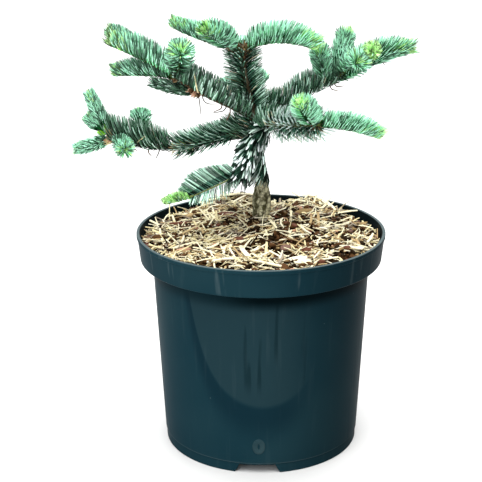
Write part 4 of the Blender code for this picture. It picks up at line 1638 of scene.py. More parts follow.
@dataclass
class Woodwork:
    """The trunk and the bare feet of the boughs, with real bark relief.

    Waves are out-of-round lobes of the trunk: how many, their phase, and their twist to the millimetre.
    """

    sides: int = 72
    step: float = 0.55 * MM
    sunk: float = 1.2 * MM
    smoothing: int = 6
    crack_depth: float = 0.3 * MM
    roughness: float = 0.05 * MM
    wave_height: float = 0.035
    most_swollen: float = 1.06
    waves: tuple[Triple, ...] = ((2, 0.4, 0.05), (3, 2.1, -0.08), (5, 1.2, 0.11))
    trunk_scales: Scales = Scales(3.6 * MM, 2 * math.pi * 5.0 * MM)
    bough_sides: int = 28
    bough_step: float = 0.4 * MM
    bough_reach: float = 1.06
    bough_crack_depth: float = 0.28 * MM
    collar_place: float = 0.22
    collar_spread: float = 0.12
    collar_swelling: float = 0.35
    bough_scales: Scales = Scales(1.9 * MM, 2 * math.pi * 2.5 * MM)
    bough_bark: Bark = Bark(
        "fir_bark_boughs", (0.12, 0.095, 0.045), (0.25, 0.19, 0.1), (0.022, 0.015, 0.008)
    )

    def build_trunk(self) -> bpy.types.Object:
        """The trunk: scales, cracks and a swollen foot.

        Returns:
            The piece.
        """
        low, high = TRUNK_STATIONS[0][0] * MM - self.sunk, TRUNK_STATIONS[-1][0] * MM
        heights = np.linspace(low, high, round((high - low) / self.step))
        middles, radii = trunk_at(heights)
        window = 2 * self.smoothing + 1
        padded = np.pad(radii, self.smoothing, mode="edge")
        radii = np.convolve(padded, np.ones(window) / window, mode="valid")
        turns = ring_turns(self.sides)
        cracks = self.trunk_scales.cracks(heights, self.sides, SEED)
        swelling = sum(
            self.wave_height * np.sin(order * turns[None] + phase + heights[:, None] / MM * twist)
            for order, phase, twist in self.waves
        )
        radius = radii[:, None] * (1 + swelling) - self.crack_depth * cracks
        radius += np.random.default_rng(SEED).normal(0, self.roughness, radius.shape)
        radius = np.minimum(radius, radii[:, None] * self.most_swollen)
        gathering = Gathering()
        add_tube(gathering, middles[:, None] + radius[..., None] * circle(self.sides), 0, cracks)
        return gathering.piece("fir_bark_trunk", [Bark().material()], "bark", ["trunk"], smooth=True)

    def build_boughs(self) -> bpy.types.Object:
        """The bare feet of the boughs, with a collar where each leaves the trunk.

        Returns:
            The piece.
        """
        gathering = Gathering()
        limbs = {index: bough for index, bough in enumerate(BOUGHS) if bough.length}
        for index, bough in limbs.items():
            axis = bough_axis(bough)
            share = np.linspace(0, self.bough_reach, round(axis.length / self.bough_step))
            point, along, up, across = axis.frames(share)
            point = point + (np.maximum(share - 1, 0) * axis.length)[:, None] * along
            beside = (share - self.collar_place) / self.collar_spread
            collar = 1 + self.collar_swelling * np.exp(-(beside**2))
            radii = (BOUGH_FOOT + (BOUGH_TIP - BOUGH_FOOT) * share) * collar
            cracks = self.bough_scales.cracks(share * axis.length, self.bough_sides, SEED + index)
            radius = radii[:, None] - self.bough_crack_depth * cracks
            out = turned(ring_turns(self.bough_sides), up[:, None], across[:, None])
            add_tube(gathering, point[:, None] + radius[..., None] * out, 0, cracks)
        names = [f"bough_{bough.name}" for bough in limbs.values()]
        return gathering.piece("fir_bark_boughs", [self.bough_bark.material()], "bark", names, smooth=True)

    def build(self) -> list[bpy.types.Object]:
        """The trunk and the boughs."""
        return [self.build_trunk(), self.build_boughs()]


# Pot


@dataclass
class NurseryPot:
    """A round 3 litre pot with a banded rim, a skirt with three notches, and drainage holes."""

    rim_radius: float = 95.0 * MM
    height: float = 168.6 * MM
    band_height: float = 21.6 * MM
    band_foot_radius: float = 92.3 * MM
    body_top_radius: float = 83.2 * MM
    body_foot_radius: float = 75.9 * MM
    skirt_radius: float = 75.1 * MM
    wall: float = 1.6 * MM
    floor_lift: float = 8.0 * MM
    lip_height: float = 3.2 * MM
    lip_proud: float = 0.7 * MM
    centre_foot_radius: float = 18.0 * MM
    skirt_step: float = 0.3 * MM
    sides: int = 240
    notch_count: int = 3
    notch_foot_width: float = 34.0 * MM
    notch_top_width: float = 27.0 * MM
    notch_height: float = 7.0 * MM
    notch_heading: float = -93.0
    drain_radius: float = 5.0 * MM
    drain_offset: float = 63.0 * MM
    drain_sides: int = 48
    cut_depth: float = 12.0 * MM
    longest_run: float = 9.0 * MM
    lip_bare: float = 0.4 * MM
    sharp_from: float = 38.0
    straight_from: float = 88.0
    round_points: int = 6

    @property
    def band_foot(self) -> float:
        """Height of the band's underside."""
        return self.height - self.band_height

    def inner_corners(self) -> list[Triple]:
        """Inner side of the wall from the floor's corner to the lip.

        Returns:
            Radius, height and rounding of each corner.
        """
        floor_top = self.floor_lift + self.wall
        return [
            (self.skirt_radius - self.wall, floor_top, 1.5 * MM),
            (self.body_top_radius - self.wall, self.band_foot, 1.2 * MM),
            (self.band_foot_radius - self.wall, self.band_foot + self.wall, 1.2 * MM),
            (self.rim_radius - self.lip_proud - self.wall, self.height, 0.5 * MM),
        ]

    def corners(self) -> list[Triple]:
        """The turned outline.

        Returns:
            Radius, height and rounding of each corner.
        """
        lip_foot = self.height - self.lip_height
        inside = self.skirt_radius - self.wall
        return [
            (0.0, 0.0, 0.0),
            (self.centre_foot_radius, 0.0, 0.5 * MM),
            (self.centre_foot_radius, self.floor_lift, 0.5 * MM),
            (inside, self.floor_lift, 0.5 * MM),
            (inside, 0.0, 0.4 * MM),
            (self.skirt_radius, 0.0, 0.5 * MM),
            (self.skirt_radius, self.floor_lift - self.skirt_step, 0.0),
            (self.body_foot_radius, self.floor_lift + self.skirt_step, 0.25 * MM),
            (self.body_top_radius, self.band_foot, 1.6 * MM),
            (self.band_foot_radius, self.band_foot, 1.8 * MM),
            (self.rim_radius - self.lip_proud, lip_foot, 0.3 * MM),
            (self.rim_radius, lip_foot + 0.5 * MM, 0.3 * MM),
            (self.rim_radius, self.height, 0.75 * MM),
            *reversed(self.inner_corners()),
            (0.0, self.floor_lift + self.wall, 0.0),
        ]

    def outline(self) -> np.ndarray:
        """The outline with its corners rounded.

        Returns:
            Radius and height of each point, in metres.
        """
        corners = np.array(self.corners())
        spots, rounds = corners[:, :2], corners[:, 2]
        points = [spots[0]]
        for index in range(1, len(spots) - 1):
            to_last, to_next = (unit(spots[other] - spots[index]) for other in (index - 1, index + 1))
            half = math.acos(float(np.clip(to_last @ to_next, -1, 1))) / 2
            if rounds[index] == 0 or half > math.radians(self.straight_from):
                points.append(spots[index])
                continue
            back = rounds[index] / math.tan(half)
            first, last = spots[index] + back * to_last, spots[index] + back * to_next
            for share in np.linspace(0, 1, self.round_points):
                keep = 1 - share
                points.append(keep**2 * first + 2 * keep * share * spots[index] + share**2 * last)
        points.append(spots[-1])
        return self.refined(np.array(points))

    def refined(self, outline: np.ndarray) -> np.ndarray:
        """The outline with long straight runs split.

        Args:
            outline: Radius and height of each point.

        Returns:
            The same with more points.
        """
        made = [outline[0]]
        for first, last in zip(outline, outline[1:]):
            parts = max(1, math.ceil(np.linalg.norm(last - first) / self.longest_run))
            made += [first + (last - first) * part / parts for part in range(1, parts + 1)]
        return np.array(made)

    def cutter(self, bm: bmesh.types.BMesh) -> bpy.types.Object:
        """A helper solid for the Booleans.

        Args:
            bm: Its mesh.

        Returns:
            The solid.
        """
        bmesh.ops.recalc_face_normals(bm, faces=bm.faces)
        mesh = bpy.data.meshes.new("cutter")
        bm.to_mesh(mesh)
        bm.free()
        return bpy.data.objects.new("cutter", mesh)

    def notch(self, heading: float) -> bpy.types.Object:
        """A wedge through the skirt.

        Args:
            heading: Where it stands, in degrees.

        Returns:
            The wedge.
        """
        foot, top, high = self.notch_foot_width / 2, self.notch_top_width / 2, self.notch_height
        shape = [(-foot, -high), (foot, -high), (foot, 0.0), (top, high), (-top, high), (-foot, 0.0)]
        bm = bmesh.new()
        near, far = (
            [bm.verts.new((self.skirt_radius + reach, wide, level)) for wide, level in shape]
            for reach in (-self.cut_depth, self.cut_depth)
        )
        for here, there in tube_faces(2, len(shape))[:, :2]:
            bm.faces.new((near[here], near[there], far[there], far[here]))
        bm.faces.new(near[::-1])
        bm.faces.new(far)
        bmesh.ops.rotate(bm, verts=bm.verts, matrix=Matrix.Rotation(math.radians(heading), 3, "Z"))
        return self.cutter(bm)

    def drain(self, heading: float) -> bpy.types.Object:
        """A rod through the floor, turned so that its corners miss the floor's edges.

        Args:
            heading: Where it stands, in degrees.

        Returns:
            The rod.
        """
        bm = bmesh.new()
        turn = Matrix.Rotation(math.radians(heading), 4, "Z")
        half_side = Matrix.Rotation(math.pi / self.drain_sides, 4, "Z")
        bmesh.ops.create_cone(
            bm,
            cap_ends=True,
            segments=self.drain_sides,
            radius1=self.drain_radius,
            radius2=self.drain_radius,
            depth=self.cut_depth,
            matrix=turn @ Matrix.Translation((self.drain_offset, 0, self.floor_lift)) @ half_side,
        )
        return self.cutter(bm)

    def line(self, mesh: bpy.types.Mesh) -> None:
        """Gives the faces of the inner side their own finish.

        Args:
            mesh: The pot's mesh.
        """
        mesh.materials.append(PotPlastic().shaded_inside_material())
        corners = np.array(self.inner_corners())
        for face in mesh.polygons:
            x, y, high = face.center
            inner = np.interp(high, corners[:, 1], corners[:, 0]) + 0.5 * self.wall
            lined = self.floor_lift + 0.5 * self.wall < high < self.height - self.lip_bare
            if lined and math.hypot(x, y) < inner:
                face.material_index = 1

    def cut(self, pot: bpy.types.Object) -> None:
        """Cuts the notches and holes.

        Args:
            pot: The turned pot.
        """
        helpers = bpy.data.collections.new("pot_cutters")
        bpy.context.scene.collection.children.link(helpers)
        for index in range(self.notch_count):
            heading = self.notch_heading + 360.0 * index / self.notch_count
            helpers.objects.link(self.notch(heading))
            helpers.objects.link(self.drain(heading))
        cuts = pot.modifiers.new("cuts", "BOOLEAN")
        cuts.operation = "DIFFERENCE"
        cuts.operand_type = "COLLECTION"
        cuts.collection = helpers
        bpy.context.view_layer.update()
        whole = bpy.data.meshes.new_from_object(pot.evaluated_get(bpy.context.evaluated_depsgraph_get()))
        pot.modifiers.clear()
        pot.data = whole
        for item in list(helpers.objects):
            bpy.data.objects.remove(item, do_unlink=True)
        bpy.data.collections.remove(helpers)

    def build(self) -> list[bpy.types.Object]:
        """The turned pot with its notches and holes cut.

        Returns:
            The pot.
        """
        outline, ring = self.outline(), circle(self.sides)
        loops = [radius * ring + high * ZENITH for radius, high in outline[1:-1]]
        ends = [outline[0][1] * ZENITH, outline[-1][1] * ZENITH]
        gathering = Gathering()
        gathering.add(np.concatenate([*loops, ends]), closed_tube_faces(len(loops), self.sides))
        pot = gathering.piece("nursery_pot", [PotPlastic().material()], "pot", ["pot"], smooth=True)
        self.cut(pot)
        pot.data.name = "nursery_pot"
        pot.data.set_sharp_from_angle(angle=math.radians(self.sharp_from))
        self.line(pot.data)
        return [pot]


@dataclass
class MouldMark:
    """A plain oval ring, moulded low on the pot's front."""

    pot: NurseryPot = field(default_factory=NurseryPot)
    middle: Span = (-2.8 * MM, 22.9 * MM)
    half_width: float = 2.8 * MM
    half_height: float = 4.4 * MM
    thickness: float = 2.1 * MM
    flatness: float = 0.22
    steps: int = 72
    sides: int = 10
    finish: PotPlastic = PotPlastic((0.014, 0.037, 0.046), (0.034, 0.064, 0.072), name="pot_plastic_mark")

    def build(self) -> list[bpy.types.Object]:
        """The ring, half sunk in the wall.

        Returns:
            The ring.
        """
        pot, turns = self.pot, ring_turns(self.steps)
        side = self.middle[0] + self.half_width * np.cos(turns)
        high = self.middle[1] + self.half_height * np.sin(turns)
        climb = (high - pot.floor_lift) / (pot.band_foot - pot.floor_lift)
        radius = pot.body_foot_radius + climb * (pot.body_top_radius - pot.body_foot_radius)
        line = np.stack([side, -np.sqrt(radius**2 - side**2), high], axis=1)
        out = unit(line * (1.0, 1.0, 0.0))
        along = unit(np.roll(line, -1, axis=0) - np.roll(line, 1, axis=0))
        turn = ring_turns(self.sides)[:, None]
        ring = self.flatness * np.cos(turn) * out[:, None] + np.sin(turn) * np.cross(along, out)[:, None]
        gathering = Gathering()
        faces = tube_faces(self.steps + 1, self.sides) % (self.steps * self.sides)
        gathering.add((line[:, None] + self.thickness * ring).reshape(-1, 3), (faces,))
        return [gathering.piece("pot_mould_mark", [self.finish.material()], "pot", ["pot"], smooth=True)]


# Mulch


SURFACE_HEIGHT = 164.3 * MM
# Heaps of the surface: right, back, spread and rise, in millimetres.
HEAPS = ((3.0, 22.0, 38.0, 8.0), (-22.0, 86.0, 17.0, 5.0), (42.0, 80.0, 20.0, 5.0))


def mound(x: np.ndarray, y: np.ndarray, right: float, back: float, spread: float) -> np.ndarray:
    """1 at a place given in millimetres, and less round it."""
    return np.exp(-((x - right * MM) ** 2 + (y - back * MM) ** 2) / (2 * (spread * MM) ** 2))


def mix_height(x: np.ndarray, y: np.ndarray) -> np.ndarray:
    """Height of the potting mix's surface.

    Args:
        x: Places to the right, in metres.
        y: Places to the back, in metres.

    Returns:
        The heights, in metres.
    """
    height = SURFACE_HEIGHT
    for *place, rise in HEAPS:
        height = height + rise * MM * mound(x, y, *place)
    return height


class Scrap(Enum):
    """Kinds of pieces in the mulch, with their colours."""

    CREAM = (0.86, 0.79, 0.55)
    PALE = (0.92, 0.86, 0.66)
    STRAW = (0.74, 0.64, 0.37)
    TAN = (0.46, 0.33, 0.17)
    GREY = (0.3, 0.25, 0.19)
    UMBER = (0.092, 0.043, 0.017)
    DARK = (0.018, 0.01, 0.004)
    RUSSET = (0.13, 0.042, 0.022)
    MAUVE = (0.19, 0.11, 0.085)
    OLIVE = (0.28, 0.19, 0.085)
    PINK = (0.56, 0.32, 0.21)


SCRAPS = tuple(Scrap)


@dataclass(frozen=True)
class Placed:
    """One piece of mulch with a place of its own, in millimetres and degrees."""

    kind: Scrap
    x: float
    y: float
    length: float
    width: float
    heading: float
    lift: float = 1.5
    tilt: float = 0.0
    thickness: float = 0.9


BOARDS = (
    Placed(Scrap.PALE, -22, 77, 29, 5, -8, 2.5, 4),
    Placed(Scrap.CREAM, -23, 74, 28, 4, 37, 3.5, -6),
    Placed(Scrap.PALE, -12, 80, 18, 4, -25, 3, 8),
    Placed(Scrap.CREAM, -34, 70, 20, 3.6, 12, 2.5, 3),
    Placed(Scrap.PALE, 54, 63, 26, 5, -62, 3, -10),
    Placed(Scrap.CREAM, 29, 86, 11, 3.6, -25, 3, 16),
    Placed(Scrap.PALE, 27, 84, 10, 3.2, 40, 4.5, -12),
    Placed(Scrap.CREAM, 72, -32, 21, 4.6, -50, 1.8, 0),
    Placed(Scrap.PALE, 69, -39, 15, 4, -44, 2.2, 5),
    Placed(Scrap.PALE, 25, -64, 15, 4.4, 8, 1.8, 4),
    Placed(Scrap.CREAM, 29, -69, 13, 4, 20, 1.6, -4),
    Placed(Scrap.PALE, -12, -52, 26, 3, -72, 2.4, -3),
    Placed(Scrap.PALE, 17, -2, 30, 1.2, -91, 4.2, 5, 0.7),
    Placed(Scrap.CREAM, 9, -4, 24, 1.8, -78, 3.6, 3, 0.8),
    Placed(Scrap.PALE, 34, -10, 34, 1.3, -80, 3.6, 6, 0.7),
    Placed(Scrap.PALE, 28, -22, 16, 1.2, 12, 3.2, 2, 0.7),
    Placed(Scrap.PALE, 58, 6, 20, 1.6, 14, 2.8, 4, 0.7),
    Placed(Scrap.CREAM, -48, 22, 26, 3, 8, 2.2, 2),
    Placed(Scrap.STRAW, -38, 34, 24, 2.6, -6, 2.4, 0),
    Placed(Scrap.CREAM, -60, -34, 22, 2.4, 30, 2, 4),
    Placed(Scrap.PALE, -30, -66, 20, 2.2, 10, 2, 4),
    Placed(Scrap.CREAM, 2, -72, 26, 2.6, -28, 2, -2),
)

CHUNKS = (
    Placed(Scrap.RUSSET, -58, 15, 34, 3.2, 10, 2.6, -2, 2.2),
    Placed(Scrap.UMBER, -50, 7, 32, 3, 16, 2, 0, 2),
    Placed(Scrap.RUSSET, -24, 27, 21, 8.5, -12, 1.8, 0, 2.6),
    Placed(Scrap.UMBER, -47, 40, 9, 7.5, -20, 1.2, 0, 4),
    Placed(Scrap.DARK, -9, 8, 9, 8, -8, 1, 0, 4),
    Placed(Scrap.PINK, -57, -41, 13, 6, 12, 1.8, 4, 2.4),
    Placed(Scrap.DARK, -67, -41, 9, 6.5, 0, 1.2, 0, 2.4),
    Placed(Scrap.RUSSET, -17, -24, 12, 9, -5, 1.4, 0, 2.6),
    Placed(Scrap.UMBER, -13, -34, 10, 8, 30, 1.2, 0, 2.4),
    Placed(Scrap.DARK, 17, 85, 14, 7, -18, 0.6, 0, 2),
    Placed(Scrap.DARK, 41, 69, 9, 7, 10, 1.4, 0, 3),
    Placed(Scrap.UMBER, 22, 64, 11, 7, -20, 1.6, 0, 2.6),
    Placed(Scrap.OLIVE, 35, 35, 21, 9, 22, 2, 4, 2.6),
    Placed(Scrap.UMBER, 24, 2, 12, 10, 12, 0.2, 0, 3),
    Placed(Scrap.DARK, 19, -9, 8, 6, 60, 0.6, 0, 3),
    Placed(Scrap.MAUVE, 18, -41, 13, 14, 4, 1.4, 3, 2.8),
    Placed(Scrap.RUSSET, 33, -46, 12, 7.5, 4, 2, 5, 3.4),
    Placed(Scrap.RUSSET, 63, -39, 8, 9, -16, 1.4, 0, 2.8),
    Placed(Scrap.RUSSET, 69, -31, 7, 6, 6, 1.2, 0, 2.6),
    Placed(Scrap.RUSSET, 86, -4, 7, 5.5, -70, 0.8, 0, 2.4),
    Placed(Scrap.UMBER, 47, -14, 9, 7, 20, 1.2, 0, 2.6),
    Placed(Scrap.OLIVE, 50, 20, 9, 5, -30, 1.2, 0, 2.2),
)


@dataclass(frozen=True)
class Strewing:
    """One sort of loose pieces: how many, how long and wide in millimetres, and each kind's share."""

    count: int
    lengths: Span
    shares: tuple[float, ...]
    widths: Span = (0.0, 0.0)


@dataclass
class Mulch:
    """Potting mix with wood shavings, splinters, bark and crumbs on it.

    A chunk's form gives its width and its height at each of its rings. The near wall is where the
    surface sinks, and heaps by the wall, at (right, back, spread), stay up. The hollow also has a depth.
    """

    edge_radius: float = 91.9 * MM
    reach: float = 90.8 * MM
    rings: int = 64
    sides: int = 160
    bed_depth: float = 1.4 * MM
    bed_lumps: Span = (-1.2, 1.2)
    bed_gap: float = 0.6 * MM
    trunk_clear: float = 6.6 * MM
    trunk_foot: Span = (0.0, 16.0 * MM)
    wall_dip: float = 7.5 * MM
    near_wall: Span = (78 * MM, 90 * MM)
    front_dip: float = 0.45
    front_to_back: Span = (-20 * MM, 40 * MM)
    wall_heaps: tuple[Triple, ...] = ((-20.0, 90.0, 22.0), (42.0, 82.0, 14.0))
    hollow: tuple[float, float, float, float] = (16.0, 72.0, 14.0, 7.0)
    patches: int = 125
    patch_sizes: Span = (3.5 * MM, 9.0 * MM)
    patch_bare: float = 0.85
    patch_flatness: Span = (1.0, 1.3)
    straw_kinds: tuple[Scrap, ...] = (Scrap.CREAM, Scrap.PALE, Scrap.STRAW, Scrap.TAN, Scrap.GREY)
    straws: tuple[Strewing, ...] = (
        Strewing(1300, (5.0, 23.0), (0.38, 0.14, 0.24, 0.16, 0.08), (0.6, 2.2)),
        Strewing(1600, (3.5, 17.0), (0.32, 0.22, 0.22, 0.16, 0.08), (0.4, 1.0)),
    )
    straw_thickness: float = 0.5
    straw_lifts: Span = (-0.6, 3.0)
    straw_tilt: float = 19.0
    shortness: float = 1.6
    strip_shares: tuple[float, ...] = (-0.5, -0.18, 0.18, 0.5)
    strip_end: float = 0.75
    bow: float = 0.2
    arches: Span = (-0.02, 0.2)
    twist: float = 0.25
    chunk_kinds: tuple[Scrap, ...] = (
        Scrap.UMBER, Scrap.DARK, Scrap.RUSSET, Scrap.MAUVE, Scrap.OLIVE, Scrap.TAN, Scrap.PINK
    )
    chunks: tuple[Strewing, ...] = (
        Strewing(640, (3.0, 9.0), (0.42, 0.33, 0.08, 0.04, 0.06, 0.05, 0.02)),
        Strewing(1700, (1.2, 3.4), (0.44, 0.42, 0.06, 0.02, 0.03, 0.02, 0.01)),
    )
    chunk_widths: Span = (0.35, 0.8)
    chunk_thicknesses: Span = (0.2, 0.4)
    chunk_lifts: Span = (-0.4, 2.4)
    chunk_tilt: float = 12.0
    chunk_sides: int = 8
    chunk_form: tuple[Span, ...] = ((0.55, -1.0), (1.0, -0.35), (0.95, 0.45), (0.6, 1.0))
    chunk_outline: Span = (0.62, 1.12)
    chunk_edge: Span = (0.93, 1.07)
    chunk_rough: float = 0.22

    def top(self, x: np.ndarray, y: np.ndarray) -> np.ndarray:
        """Height of the strewn surface, which sinks toward the wall at the back, beside its two heaps.

        Args:
            x: Places to the right, in metres.
            y: Places to the back, in metres.

        Returns:
            The heights.
        """
        near = smooth_step(np.hypot(x, y), *self.near_wall)
        near = near * (self.front_dip + (1 - self.front_dip) * smooth_step(y, *self.front_to_back))
        for right, back, spread in self.wall_heaps:
            away = np.hypot(x - right * MM, y - back * MM) / (spread * MM)
            near = near * (1 - np.exp(-away * away))
        *place, depth = self.hollow
        return mix_height(x, y) - self.wall_dip * near - depth * MM * mound(x, y, *place)

    def build_bed(self) -> bpy.types.Object:
        """The mix itself: a lumpy top over a plain side.

        Returns:
            The piece.
        """
        wander = np.random.default_rng(SEED)
        ring = circle(self.sides)
        wall = NurseryPot().inner_corners()[:3]
        gap = self.bed_gap
        loops = [(radius - gap) * ring + (high + gap) * ZENITH for radius, high, _ in wall]
        for share in np.linspace(1.0, 0.02, self.rings):
            spot = self.edge_radius * share * ring
            high = self.top(spot[:, 0], spot[:, 1]) - self.bed_depth
            high = high + (wander.uniform(*self.bed_lumps, self.sides) * MM if share < 1 else 0)
            loops.append(spot + high[:, None] * ZENITH)
        gathering = Gathering()
        add_tube(gathering, np.array(loops), 0)
        return gathering.piece("mulch_bed", [Humus().material()], "potting_mix", ["potting_mix"], smooth=True)

    def piece(
        self, name: str, rows: Sequence[Placed], points: np.ndarray, faces: Sequence[np.ndarray]
    ) -> bpy.types.Object:
        """Makes loose pieces of one pattern into a joined piece.

        Args:
            name: The piece's name.
            rows: The loose pieces.
            points: For each of them, its points.
            faces: The pattern, an array for each number of corners.

        Returns:
            The piece.
        """
        finishes = [
            Tone(f"mulch_{kind.name.lower()}", kind.value, 0.8, 0.3 if kind is Scrap.RUSSET else 0.05)
            for kind in SCRAPS
        ]
        tones = np.array([SCRAPS.index(row.kind) for row in rows])[:, None]
        gathering = Gathering()
        gathering.add_copies(points, faces, [tones] * len(faces))
        return gathering.piece(name, [tone.material() for tone in finishes], "potting_mix", ["potting_mix"])

    def scattered(self, count: int, wander: np.random.Generator) -> np.ndarray:
        """Random places on the ground, even over the whole surface.

        Args:
            count: How many.
            wander: Random draws.

        Returns:
            The places, in metres.
        """
        radius = np.sqrt(wander.random(count)) * self.reach
        turn = wander.uniform(0, 2 * math.pi, count)
        return np.stack([radius * np.cos(turn), radius * np.sin(turn)], axis=1)

    def strewn(self, length: np.ndarray, wander: np.random.Generator) -> tuple[np.ndarray, np.ndarray]:
        """Random places inside the wall and clear of the trunk.

        Args:
            length: Length of each piece, in millimetres.
            wander: Random draws.

        Returns:
            Places on the ground, in metres, and headings in radians.
        """
        heading = wander.uniform(0, math.pi, len(length))
        spot = self.scattered(len(length), wander)
        half = (0.5 * length * MM)[:, None] * np.stack([np.cos(heading), np.sin(heading)], axis=1)
        for sign in (1, -1):
            end = spot + sign * half
            spot = spot - unit(end) * np.maximum(np.linalg.norm(end, axis=1) - self.reach, 0)[:, None]
        gap = spot - self.trunk_foot
        near = np.linalg.norm(gap, axis=1)
        return spot + unit(gap) * np.maximum(self.trunk_clear - near, 0)[:, None], heading

    def open_soil(self, spots: np.ndarray) -> np.ndarray:
        """Which places lie in the patches where bark and dark mix show between the shavings.

        Args:
            spots: Places on the ground, in metres.

        Returns:
            True for those that do.
        """
        wander = np.random.default_rng(SEED + 4)
        middle = self.scattered(self.patches, wander)
        away = np.linalg.norm((spots[:, None] - middle[None]) * self.patch_flatness, axis=2)
        return (away < wander.uniform(*self.patch_sizes, self.patches)).any(axis=1)

    def lie(self, row: Placed) -> tuple[np.ndarray, np.ndarray, np.ndarray]:
        """How a loose piece lies on the surface.

        Args:
            row: The piece.

        Returns:
            Its middle, its own direction, and the level direction across it.
        """
        east, north = math.cos(math.radians(row.heading)), math.sin(math.radians(row.heading))
        middle = np.array([row.x * MM, row.y * MM, 0.0])
        middle[2] = self.top(middle[0], middle[1]) + row.lift * MM
        aim = np.array([east, north, math.sin(math.radians(row.tilt))])
        return middle, aim, np.array([-north, east, 0.0])

    def strip(self, row: Placed, wander: np.random.Generator) -> list[np.ndarray]:
        """A thin curved strip.

        Args:
            row: The strip.
            wander: Random draws.

        Returns:
            Four rings of four points.
        """
        middle, aim, side = self.lie(row)
        bow, arch = wander.normal(0, self.bow), wander.uniform(*self.arches)
        twist = wander.normal(0, self.twist)
        points = []
        for share in self.strip_shares:
            reach, curve = share * row.length * MM, (0.25 - share * share) * row.length * MM
            spot = middle + reach * aim + curve * bow * side + curve * arch * ZENITH
            roll = twist * (1 + share)
            half = 0.5 * row.width * MM * (self.strip_end if abs(share) == 0.5 else 1.0)
            wide = half * (math.cos(roll) * side + math.sin(roll) * ZENITH)
            deep = 0.5 * row.thickness * MM * (math.cos(roll) * ZENITH - math.sin(roll) * side)
            points += [spot - wide - deep, spot + wide - deep, spot + wide + deep, spot - wide + deep]
        return points

    def build_shavings(self) -> bpy.types.Object:
        """Straw coloured shavings and splinters, and the large pale boards.

        Returns:
            The piece.
        """
        wander = np.random.default_rng(SEED + 1)
        rows = list(BOARDS)
        for sort in self.straws:
            shortest, longest = sort.lengths
            length = wander.uniform(0, 1, sort.count) ** self.shortness * (longest - shortest) + shortest
            spot, heading = self.strewn(length, wander)
            chosen = wander.choice(len(self.straw_kinds), sort.count, p=sort.shares)
            bare = self.open_soil(spot) & (wander.random(sort.count) < self.patch_bare)
            lift = wander.uniform(*self.straw_lifts, sort.count)
            tilt = wander.normal(0, self.straw_tilt, sort.count)
            width = wander.uniform(*sort.widths, sort.count)
            rows += [
                Placed(
                    self.straw_kinds[chosen[index]], *(spot[index] / MM), length[index], width[index],
                    math.degrees(heading[index]), lift[index], tilt[index], self.straw_thickness,
                )
                for index in np.flatnonzero(~bare)
            ]
        rings = len(self.strip_shares)
        caps = np.array([[3, 2, 1, 0], [0, 1, 2, 3]]) + [[0], [4 * (rings - 1)]]
        faces = np.concatenate([tube_faces(rings, 4), caps])
        points = np.array([self.strip(row, wander) for row in rows])
        return self.piece("mulch_shavings", rows, points, (faces,))

    def chunk(self, row: Placed, wander: np.random.Generator) -> np.ndarray:
        """A rough lump.

        Args:
            row: The lump.
            wander: Random draws.

        Returns:
            The points of its rings, then the middles of its foot and its top.
        """
        middle, aim, side = self.lie(row)
        outline = wander.uniform(*self.chunk_outline, self.chunk_sides)
        turns = ring_turns(self.chunk_sides)[:, None]
        level = np.cos(turns) * aim * row.length + np.sin(turns) * side * row.width
        loops = []
        for wide, high in self.chunk_form:
            edge = outline * wide * wander.uniform(*self.chunk_edge, self.chunk_sides)
            rough = high + wander.uniform(-self.chunk_rough, self.chunk_rough, self.chunk_sides)
            offset = edge[:, None] * level + rough[:, None] * row.thickness * ZENITH
            loops.append(middle + 0.5 * MM * offset)
        return np.concatenate([*loops, [loops[0].mean(0), loops[-1].mean(0)]])

    def build_chunks(self) -> bpy.types.Object:
        """Bark chips, clods and crumbs.

        Returns:
            The piece.
        """
        wander = np.random.default_rng(SEED + 2)
        rows = list(CHUNKS)
        for sort in self.chunks:
            length = wander.uniform(*sort.lengths, sort.count)
            spot, heading = self.strewn(length, wander)
            chosen = wander.choice(len(self.chunk_kinds), sort.count, p=sort.shares)
            rows += [
                Placed(
                    self.chunk_kinds[chosen[index]], *(spot[index] / MM), length[index],
                    length[index] * wander.uniform(*self.chunk_widths), math.degrees(heading[index]),
                    wander.uniform(*self.chunk_lifts), wander.normal(0, self.chunk_tilt),
                    length[index] * wander.uniform(*self.chunk_thicknesses),
                )
                for index in range(sort.count)
            ]
        points = np.array([self.chunk(row, wander) for row in rows])
        faces = closed_tube_faces(len(self.chunk_form), self.chunk_sides)
        return self.piece("mulch_bark_chips", rows, points, faces)

    def build(self) -> list[bpy.types.Object]:
        """The bed and what lies on it."""
        return [self.build_bed(), self.build_shavings(), self.build_chunks()]


# Studio


@dataclass(frozen=True)
class Lamp:
    """A soft square lamp and what it looks at, in metres and watts."""

    name: str
    place: Triple
    target: Triple
    size: float
    power: float
    color: Color

    def build(self) -> None:
        """Hangs the lamp."""
        data = bpy.data.lights.new(self.name, "AREA")
        data.size, data.energy, data.color = self.size, self.power, self.color
        lamp = bpy.data.objects.new(self.name, data)
        lamp.location = self.place
        lamp.rotation_mode = "QUATERNION"
        lamp.rotation_quaternion = (Vector(self.target) - Vector(self.place)).to_track_quat("-Z", "Y")
        bpy.context.scene.collection.objects.link(lamp)


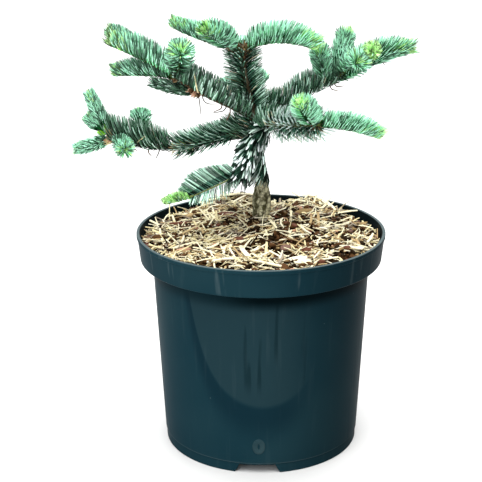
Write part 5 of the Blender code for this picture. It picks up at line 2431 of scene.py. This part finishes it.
@dataclass
class Studio:
    """Pale floor, soft light and the camera, in metres, degrees and pixels of the photograph."""

    eye: Triple = (-0.0152, -0.9825, 0.4887)
    pitch: float = 18.5417
    roll: float = -0.32
    focal_pixels: float = 1350.36
    frame_pixels: float = 482.0
    sensor: float = 36.0
    glow: float = 0.28
    floor_reach: float = 12.0
    floor_color: Color = (0.7, 0.7, 0.7)
    lamps: tuple[Lamp, ...] = (
        Lamp("overhead", (0.0, -0.3, 1.7), (0.0, 0.0, 0.2), 1.9, 53.0, (1.0, 1.0, 0.98)),
        Lamp("left", (-0.7, -1.5, 1.1), (0.0, 0.0, 0.15), 2.0, 25.0, (0.98, 0.99, 1.0)),
        Lamp("backdrop", (0.0, 3.2, 2.2), (0.0, 3.0, 0.0), 4.5, 190.0, (1.0, 1.0, 1.0)),
    )

    def build_camera(self) -> None:
        """The camera at the photograph's angle."""
        data = bpy.data.cameras.new("camera")
        data.sensor_width = self.sensor
        data.lens = self.focal_pixels / self.frame_pixels * self.sensor
        camera = bpy.data.objects.new("camera", data)
        tilt = Matrix.Rotation(math.radians(90 - self.pitch), 4, "X")
        roll = Matrix.Rotation(math.radians(self.roll), 4, "Z")
        camera.matrix_world = Matrix.Translation(self.eye) @ tilt @ roll
        bpy.context.scene.collection.objects.link(camera)
        bpy.context.scene.camera = camera

    def build_world(self) -> None:
        """White surroundings."""
        world = bpy.data.worlds.new("studio")
        world.use_nodes = True
        inputs = world.node_tree.nodes["Background"].inputs
        inputs["Color"].default_value = (1.0, 1.0, 1.0, 1.0)
        inputs["Strength"].default_value = self.glow
        bpy.context.scene.world = world

    def build_floor(self) -> None:
        """The floor."""
        mesh = bpy.data.meshes.new("floor")
        far = self.floor_reach
        corners = [(-far, -far, 0), (far, -far, 0), (far, far, 0), (-far, far, 0)]
        mesh.from_pydata(corners, [], [(0, 1, 2, 3)])
        mesh.materials.append(Tone("studio_floor", self.floor_color, 0.9, 0.1).material())
        floor = bpy.data.objects.new("floor", mesh)
        bpy.context.scene.collection.objects.link(floor)

    def build(self) -> None:
        """Everything round the plant."""
        self.build_camera()
        self.build_world()
        for lamp in self.lamps:
            lamp.build()
        self.build_floor()
        bpy.context.scene.view_settings.view_transform = "Standard"


def main() -> None:
    """Builds the plant, its pot and the studio, and reports each piece."""
    logging.basicConfig(level=logging.INFO, format="%(message)s")
    for part in (NurseryPot(), MouldMark(), Mulch(), Woodwork(), Crown(), Litter()):
        for piece in part.build():
            LOG.info("%s: %d faces", piece.name, len(piece.data.polygons))
    Studio().build()


if __name__ == "__main__":
    main()
